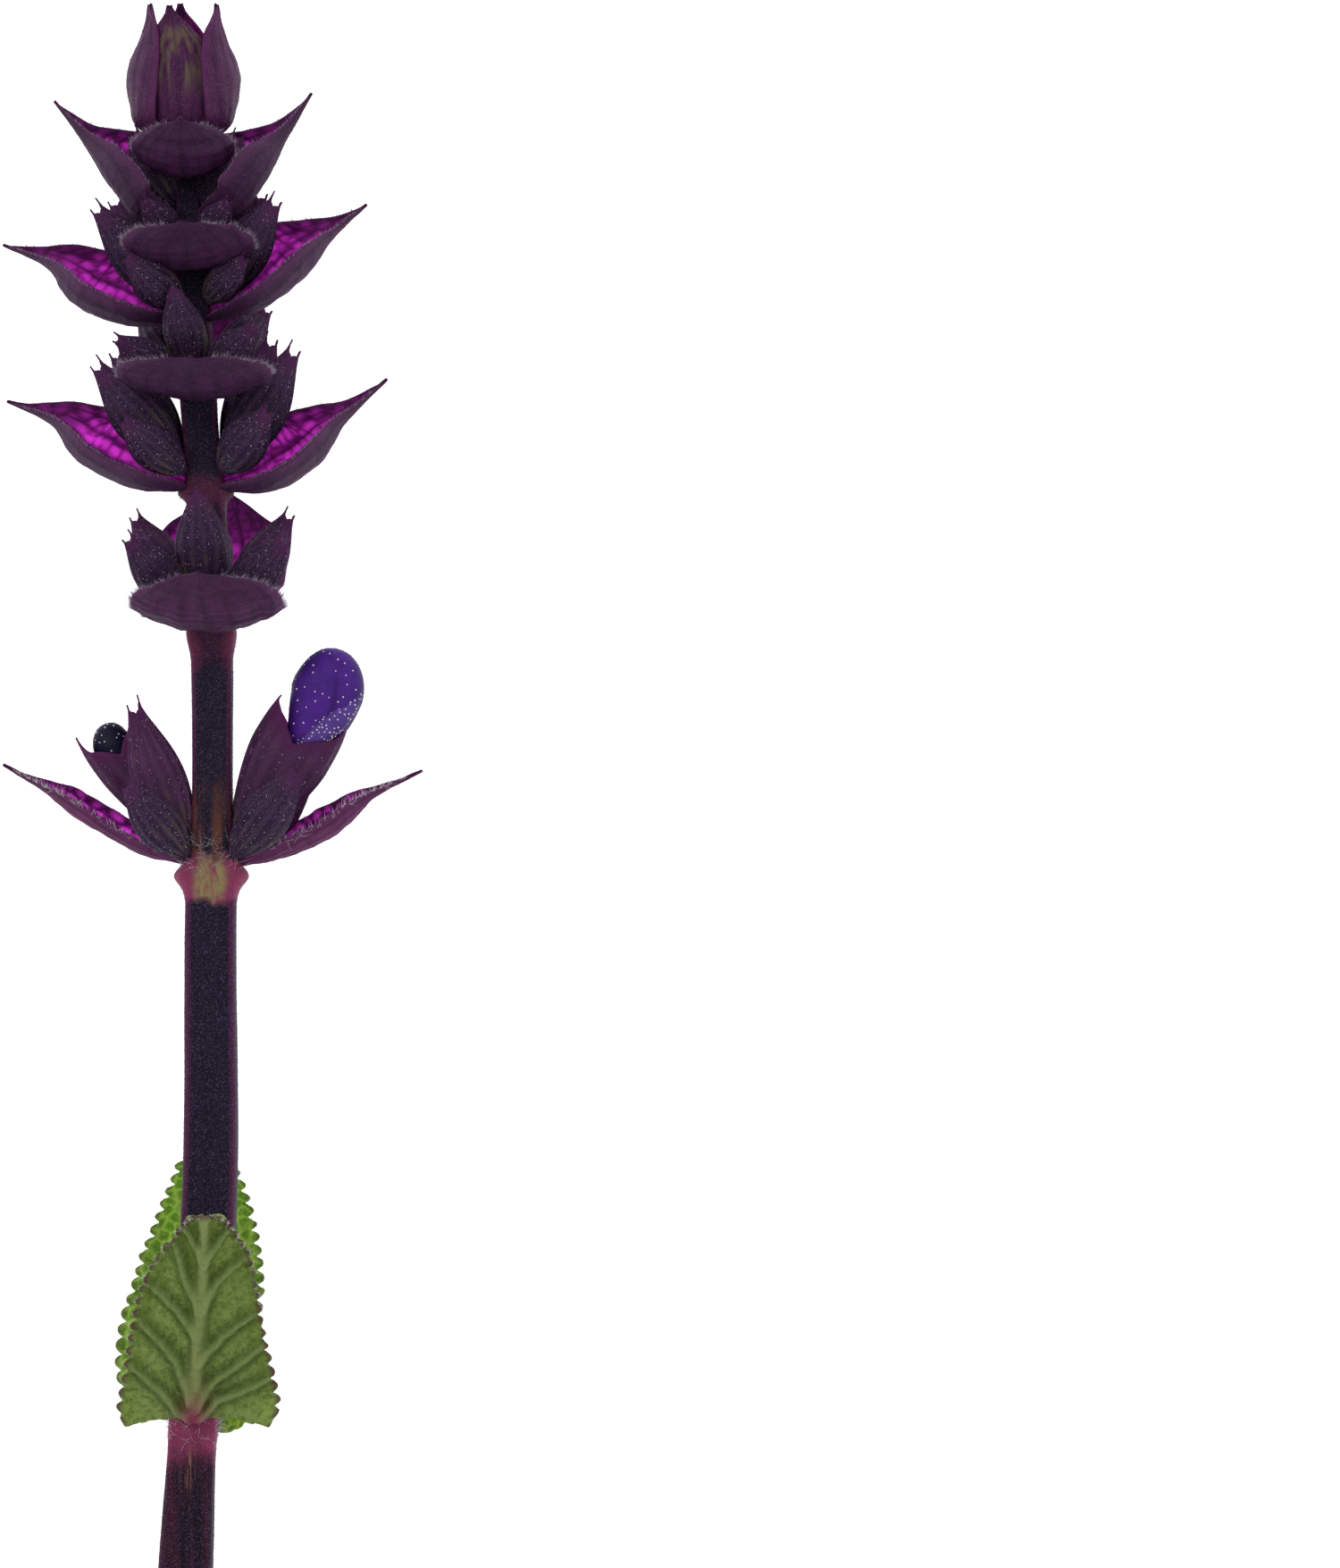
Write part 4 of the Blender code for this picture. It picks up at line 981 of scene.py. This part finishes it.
def makeFlowers():
    violet = petalFinish("violetPetal", (0.045, 0.009, 0.17), (0.150, 0.032, 0.45), 0.75)
    pale = petalFinish("paleLip", (0.075, 0.028, 0.25), (0.20, 0.10, 0.48), 0.9)
    navy = petalFinish("navyPetal", (0.004, 0.005, 0.020), (0.012, 0.011, 0.050), 0.5)
    for name, side, finish, nodes in (("corolla_right_hood", "right", violet, ["corolla_right"]),
                                      ("corolla_right_lip", "lip", pale, []),
                                      ("corolla_left_hood", "left", navy, ["corolla_left"])):
        form = flowers[side]
        surface = petalSurface(form)
        addPiece(shapedGrid(name, *form["cells"], surface, tube=True), [finish], nodes)
        rng = np.random.default_rng(51)
        tries = 4 * form["glands"]
        u, v = rng.uniform(0.15, 0.985, tries), rng.uniform(-1, 1, tries)
        spots = []
        for spot in surface(u, v)[0]:             # evenly spread, none closer than the gap
            apart = all(np.sum((spot - other) ** 2) > form["gap"] ** 2 for other in spots)
            if apart and len(spots) < form["glands"]:
                spots.append(spot)
        sizes = rng.uniform(0.036, 0.056, len(spots))
        scatterGlands(name + "_glands", np.array(spots), sizes, paleGland, 52)
    print("flowers done")


makeFlowers()


# Leaves: toothed, puckered blades with a raised midrib and a net of veins.

leaves = {
    "cells": (120, 166),
    "wall": 0.16,
    "tooth": 0.44,
    "lift": 0.18,            # how far above the surface the back leaf lies
    "hairs": 520,
    "mesh": 0.66,            # sizes of the cells between the fine veins and between the finest
    "tinyMesh": 0.30,
    # side veins of the front leaf: places beside the midrib and up the blade
    "veins": [[(-0.3, 0.1), (-0.7, 0.3), (-1.5, 1.3), (-2.4, 2.0), (-3.6, 2.8)],
              [(-0.2, 0.9), (-0.95, 2.9), (-1.65, 3.7), (-3.2, 5.0)],
              [(-0.1, 4.2), (-1.1, 5.5), (-2.3, 6.5), (-3.0, 7.0)],
              [(-0.1, 5.6), (-0.85, 7.3), (-1.35, 9.1), (-1.6, 10.0)],
              [(-0.1, 8.6), (-0.6, 9.8), (-0.9, 10.8)],
              [(0.2, 0.1), (0.5, 0.3), (1.1, 1.0), (2.85, 1.6), (3.9, 2.1)],
              [(0.15, 0.6), (0.85, 1.9), (2.5, 3.1), (3.6, 3.9)],
              [(0.1, 2.9), (1.15, 4.2), (1.7, 4.6), (3.2, 5.6)],
              [(0.05, 5.6), (0.7, 7.2), (1.45, 7.9), (2.6, 8.9)],
              [(0.05, 8.4), (0.7, 9.7), (1.1, 10.5)]],
    # margins: plan Y, reach to the left, reach to the right; lobe: place across, how far the base hangs down;
    # under: the lower side faces the viewer
    "front": {
        "path": [(-0.5, 7.35, 2.05), (-0.3, 10.4, 2.7), (0.0, 13.4, 3.6), (0.2, 16.0, 5.1), (0.28, 17.70, 6.95)],
        "margins": [(6.9, 3.1, 3.4), (7.5, 3.5, 3.85), (8.1, 3.65, 4.05), (9.4, 3.45, 3.75), (10.65, 3.3, 3.35),
                    (11.9, 3.2, 2.95), (13.7, 2.85, 2.5), (14.8, 2.4, 2.25), (15.6, 1.9, 1.95),
                    (16.2, 1.40, 1.50), (16.75, 1.02, 1.12), (17.2, 0.68, 0.76), (17.55, 0.35, 0.40),
                    (17.7, 0.05, 0.05)],
        "teeth": 20,
        "length": 12.5,
        "cup": -0.9,
        "lobe": [(-1.0, 0.45), (-0.92, 0.54), (-0.75, 0.32), (-0.40, 0.04), (0, 0), (0.40, 0.04), (0.75, 0.32),
                 (0.92, 0.54), (1.0, 0.45)],
        "seed": 7,
        "under": True,
    },
    "back": {
        "path": [(-0.65, 7.0, -1.40), (-0.57, 10.6, -4.1), (-0.47, 14.1, -7.0), (-0.33, 17.4, -8.4),
                 (-0.25, 20.5, -8.9)],
        "margins": [(6.9, 3.2, 3.0), (8.0, 3.5, 3.2), (9.9, 3.85, 3.1), (11.8, 3.7, 2.9), (12.9, 3.4, 2.9),
                    (13.9, 3.2, 2.85), (14.8, 3.0, 2.7), (16.2, 2.55, 2.4), (17.6, 2.1, 2.0), (18.9, 1.6, 1.5),
                    (19.8, 1.20, 0.95), (20.5, 0.05, 0.05)],
        "teeth": 19,
        "length": 15.5,
        "cup": 0.7,
        "lobe": [(-1.0, 0.0), (-0.6, 0.12), (0, 0), (0.30, 0.65), (0.60, 0.85), (0.85, 0.50), (1.0, 0.30)],
        "seed": 19,
        "under": False,
    },
}


# The side veins, the fine and the finest mesh, the hollows between them, and how far those swell.
def leafVeins(form, flat):
    veins, closest = np.zeros(len(flat)), np.abs(flat[:, 0])
    for vein in leaves["veins"]:
        gap, at = strokeDistance(flat, np.array(vein) * (1, form["length"] / leaves["front"]["length"]))
        veins = np.maximum(veins, np.exp(-(gap / (0.25 - 0.11 * at)) ** 4) * (1 - 0.2 * at))
        closest = np.minimum(closest, gap)
    extent = (4.6, form["length"])
    cells = network(flat, leaves["mesh"], extent, form["seed"] + 1)
    tinyCells = network(flat, leaves["tinyMesh"], extent, form["seed"] + 2)
    mesh, tiny = np.exp(-(cells / 0.060) ** 2), np.exp(-(tinyCells / 0.026) ** 2)
    puff = np.minimum(closest * 0.70, 0.34) + np.minimum(cells * 0.45, 0.09) + np.minimum(tinyCells, 0.05) * 0.3
    return veins, mesh, tiny, np.clip(closest / 0.7, 0, 1), puff


def leafSurface(side, fine=True):
    form = leaves[side]
    away = -1.0 if form["under"] else 1.0         # the cells between the veins swell to the upper side

    def surface(u, v):
        rise = 1 - (1 - u) ** 1.35                # closer rows at the round tip
        middle, along = followPath(form["path"], rise)
        lift = np.cross((1.0, 0.0, 0.0), along)
        edge = np.abs(v)
        half = np.where(v < 0, *course(form["margins"], middle[:, 1]))
        saw = np.abs(np.sin(math.pi * (form["teeth"] * rise + np.where(v < 0, 0.1, 0.6)))) ** 0.7
        half = half + leaves["tooth"] * (saw - 0.50) * edge ** 7 * ease(0.0, 0.06, u) * ease(1.0, 0.93, u)
        drop = course(form["lobe"], v)[0] * np.clip(1 - u * 5, 0, 1)
        flat = np.stack([half * v, rise * form["length"] - drop], 1)
        midrib = np.exp(-(half * v / (0.48 - 0.24 * rise)) ** 4 * 1.2)
        veins, mesh, tiny, hollow, puff = leafVeins(form, flat) if fine else [0 * u] * 5
        relief = puff * ease(1.0, 0.85, edge) * 1.4 - 0.40 * midrib * (1 - 0.5 * rise) - 0.20 * veins
        relief = relief * ease(0.98, 0.76, u)     # calm at the tip
        wave = 0.10 * ripple(flat, 2.4, form["seed"]) + 0.05 * np.sin(rise * 60 + np.sign(v)) * edge ** 5
        bend = form["cup"] * (half / 3.8) * v * v
        points = middle + np.stack([half * v, 0 * u, 0 * u], 1) + lift * (bend + wave + away * relief)[:, None]
        points = points - along * drop[:, None]
        heart = np.exp(-(half * v / 0.75) ** 2 - (flat[:, 1] / 1.3) ** 2)    # the red base of the midrib
        marks = {"midrib": midrib, "veins": veins, "mesh": mesh, "tiny": tiny, "edge": edge, "saw": saw,
                 "hollow": hollow, "heart": heart}
        return restOnSurface(points, lift=leaves["lift"]), marks

    return surface


def leafFinish(name, back):
    f = Finish(name)
    midrib, veins, mesh, tiny, edge = f.marks("midrib", "veins", "mesh", "tiny", "edge")
    saw, hollow, heart, along = f.marks("saw", "hollow", "heart", "along")
    cloud = f.noise(1.2, 4.0)
    grain = f.noise(0.11, 4.0, 0.7)
    blotch = f.noise(0.30, 4.0, 0.7)
    tip = f.between(0.92, 0.98, edge) * f.between(0.45, 0.80, saw) * (0.5 if back else 1.0)
    if back:
        skin = f.blend(cloud, (0.085, 0.17, 0.014), (0.15, 0.28, 0.025))
        vein, rib = (0.42, 0.58, 0.12), (0.42, 0.50, 0.20)
        light, share = f.blend(mesh * 0.8 + tiny * 0.2, (0.32, 0.58, 0.05), (0.85, 0.95, 0.36)), 0.46
        shade, tinyShare, meshShare, dry = 0.35, 0.35, 0.9, 0.0
    else:
        skin = f.blend(cloud, (0.26, 0.38, 0.10), (0.40, 0.53, 0.17))
        vein, rib = (0.29, 0.39, 0.13), (0.31, 0.38, 0.13)
        light, share = (0.62, 0.72, 0.22), 0.34
        shade, tinyShare, meshShare, dry = 0.80, 0.1, 0.3, 0.7
    skin = f.layers(
        skin,
        # painted shade beside the veins and the midrib, in the recesses
        (f.between(0.95, 0.45, hollow) * shade, (0.045, 0.090, 0.018)),
        (f.between(0.47, 0.57, blotch) * 0.6, (0.040, 0.092, 0.018)),
        (f.between(0.50, 0.64, grain) * 0.5, (0.58, 0.66, 0.32)),
        (tiny * tinyShare, vein),
        (mesh * meshShare, vein),
        (veins * 0.85, vein),
        (midrib * 0.95, rib),
        (heart, (0.30, 0.045, 0.11)),
        (f.between(0.88, 0.97, along) * dry, (0.15, 0.07, 0.085)),
        (tip * 0.8, (0.13, 0.045, 0.055)))
    share = share * (1.0 - 0.6 * midrib) * (1.0 - 0.45 * veins) * (1.0 - 0.7 * tip)
    return f.surface(skin, 0.6, f.bump(grain + mesh * 0.3, 0.06, 0.7), light, share, gloss=0.12)


def makeLeaves():
    for side in ("front", "back"):
        name = "leaf_" + side
        finish = leafFinish("leaf" + side.capitalize(), side == "back")
        mesh = shapedGrid(name + "_blade", *leaves["cells"], leafSurface(side))
        addPiece(mesh, [finish, finish], [name], leaves["wall"], (0, 0, 1))
        rng = np.random.default_rng(61)
        count = leaves["hairs"]
        u, v = rng.uniform(0.0, 0.97, count), np.sign(rng.uniform(-1, 1, count))
        at, _, up, across = probe(leafSurface(side, fine=False), u, v)
        ways = across * v[:, None] + up * 0.4 + rng.normal(size=at.shape) * 0.35
        lengths = rng.uniform(0.10, 0.24, count)
        scatter(name + "_fringe", "down", at, ways, lengths, 0.010, paleDown, seed=62)
    print("leaves done")


makeLeaves()


# Bud: young bracts shut round the tip.

bud = {
    "cells": (44, 54),
    "wall": 0.14,
    "axis": -1.08,
    "foot": 70.4,
    "hairs": 420,
    "core": (1.35, 5.2),     # its widest reach and its height
    "coreCells": (32, 32),
    # up the bract: distance from the axis and share of the span, for the outer and the inner pair
    "outer": [(0, 0.60, 0.80), (0.10, 0.85, 0.95), (0.25, 0.96, 1.03), (0.42, 1.0, 1.08), (0.55, 0.94, 1.08),
              (0.70, 0.79, 0.98), (0.82, 0.68, 0.78), (0.91, 0.62, 0.45), (0.97, 0.60, 0.18), (1, 0.59, 0.02)],
    "inner": [(0, 0.60, 0.80), (0.10, 0.86, 0.94), (0.25, 0.97, 1.0), (0.42, 1.0, 1.0), (0.55, 0.93, 0.96),
              (0.70, 0.76, 0.82), (0.82, 0.55, 0.66), (0.91, 0.40, 0.42), (0.97, 0.31, 0.18), (1, 0.27, 0.02)],
    # pair, compass degrees, lean of the tip in mm, top, widest reach, half span in degrees
    "blades": {
        "bud_bract_left": ("outer", 180, 0.0, 77.0, 2.80, 60),
        "bud_bract_right": ("outer", 0, 0.0, 77.0, 2.80, 62),
        "bud_bract_front": ("inner", 90, -0.65, 76.9, 2.36, 68),
        "bud_bract_back": ("inner", 270, -0.20, 77.1, 2.36, 68),
    },
}


def budSurface(name):
    pair, compass, lean, top, widest, span = bud["blades"][name]
    seed = seedOf(name)

    def surface(u, v):
        reach, spread = course(bud[pair], u)
        reach, spread = reach * widest, spread * span
        turn = np.radians(compass + v * spread)
        flat = np.stack([v * spread / 25, u * 8], 1)
        veins = veinMarks(u, v, flat, seed)[0]
        ridge = 0.10 * hump(0.0, 0.3, v) * ease(0.3, 0.7, u)
        reach = reach - 0.05 * veins + 0.04 * ripple(flat, 1.0, seed) + ridge
        x = bud["axis"] + lean * u ** 2 + reach * np.cos(turn)
        y = bud["foot"] + (top - bud["foot"]) * u
        marks = {"veins": veins, "edge": np.abs(v), "tip": ease(0.75, 1.0, u),
                 "inner": float(pair == "inner") + 0 * u}
        return np.stack([x, y, reach * np.sin(turn)], 1), marks

    return surface


def coreSurface(u, v):                            # the knob inside, below the four bracts
    widest, tall = bud["core"]
    reach = widest * np.sin(math.pi * u) ** 0.8
    x, z = bud["axis"] + reach * np.cos(math.pi * v), reach * np.sin(math.pi * v)
    marks = {mark: 0 * u for mark in ("veins", "edge", "tip", "inner")}
    return np.stack([x, bud["foot"] - 0.2 + tall * u, z], 1), marks


def budFinish():
    f = Finish("budBract")
    veins, edge, tip, inner, along = f.marks("veins", "edge", "tip", "inner", "along")
    grain = f.noise(0.10, 4.0, 0.7)
    stripe = inner * f.between(0.25, 0.50, along) * f.between(0.95, 0.75, along)
    stripe = stripe * f.between(0.40, 0.55, f.noise(0.55, 2.0, 0.5, (1.0, 0.12, 1.0)))
    skin = f.layers(
        f.blend(f.noise(0.9, 4.0), (0.048, 0.010, 0.050), (0.135, 0.026, 0.115)),
        (stripe * 0.7, (0.21, 0.18, 0.075)),
        (veins * 0.55, (0.026, 0.008, 0.028)),
        (f.between(0.45, 0.70, grain) * 0.4, (0.22, 0.12, 0.20)),
        (f.between(0.85, 1.0, edge) * 0.5, (0.18, 0.035, 0.15)),
        (tip * 0.5, (0.05, 0.012, 0.045)))
    normal = f.bump(grain + veins * 0.5, 0.05, 0.6)
    return f.surface(skin, 0.5, normal, (0.72, 0.09, 0.66), 0.30 * f.between(0.2, 0.8, along), gloss=0.12)


def makeBud():
    skin = budFinish()
    feet, ways = [], []
    for number, (name, blade) in enumerate(bud["blades"].items()):
        surface = budSurface(name)
        compass = math.radians(blade[1])
        mesh = shapedGrid(name + "_blade", *bud["cells"], surface)
        facing = (math.cos(compass), 0, math.sin(compass))
        addPiece(mesh, [skin, skin], [name], bud["wall"], facing)
        rng = np.random.default_rng(400 + number)
        u, v = rng.uniform(0.05, 0.98, bud["hairs"]), rng.uniform(-1, 1, bud["hairs"])
        at, way = leaningHairs(rng, surface, u, v, lambda at: (at - (bud["axis"], 0, 0)) * (1, 0, 1))
        feet.append(at)
        ways.append(way)
    mesh = shapedGrid("bud_core_knob", *bud["coreCells"], coreSurface, tube=True)
    addPiece(mesh, [skin], ["bud_core"])
    lengths = np.random.default_rng(63).uniform(0.08, 0.2, len(np.vstack(feet)))
    scatter("bud_down", "down", feet, ways, lengths, 0.009, dimDown, seed=64)
    print("bud done")


makeBud()
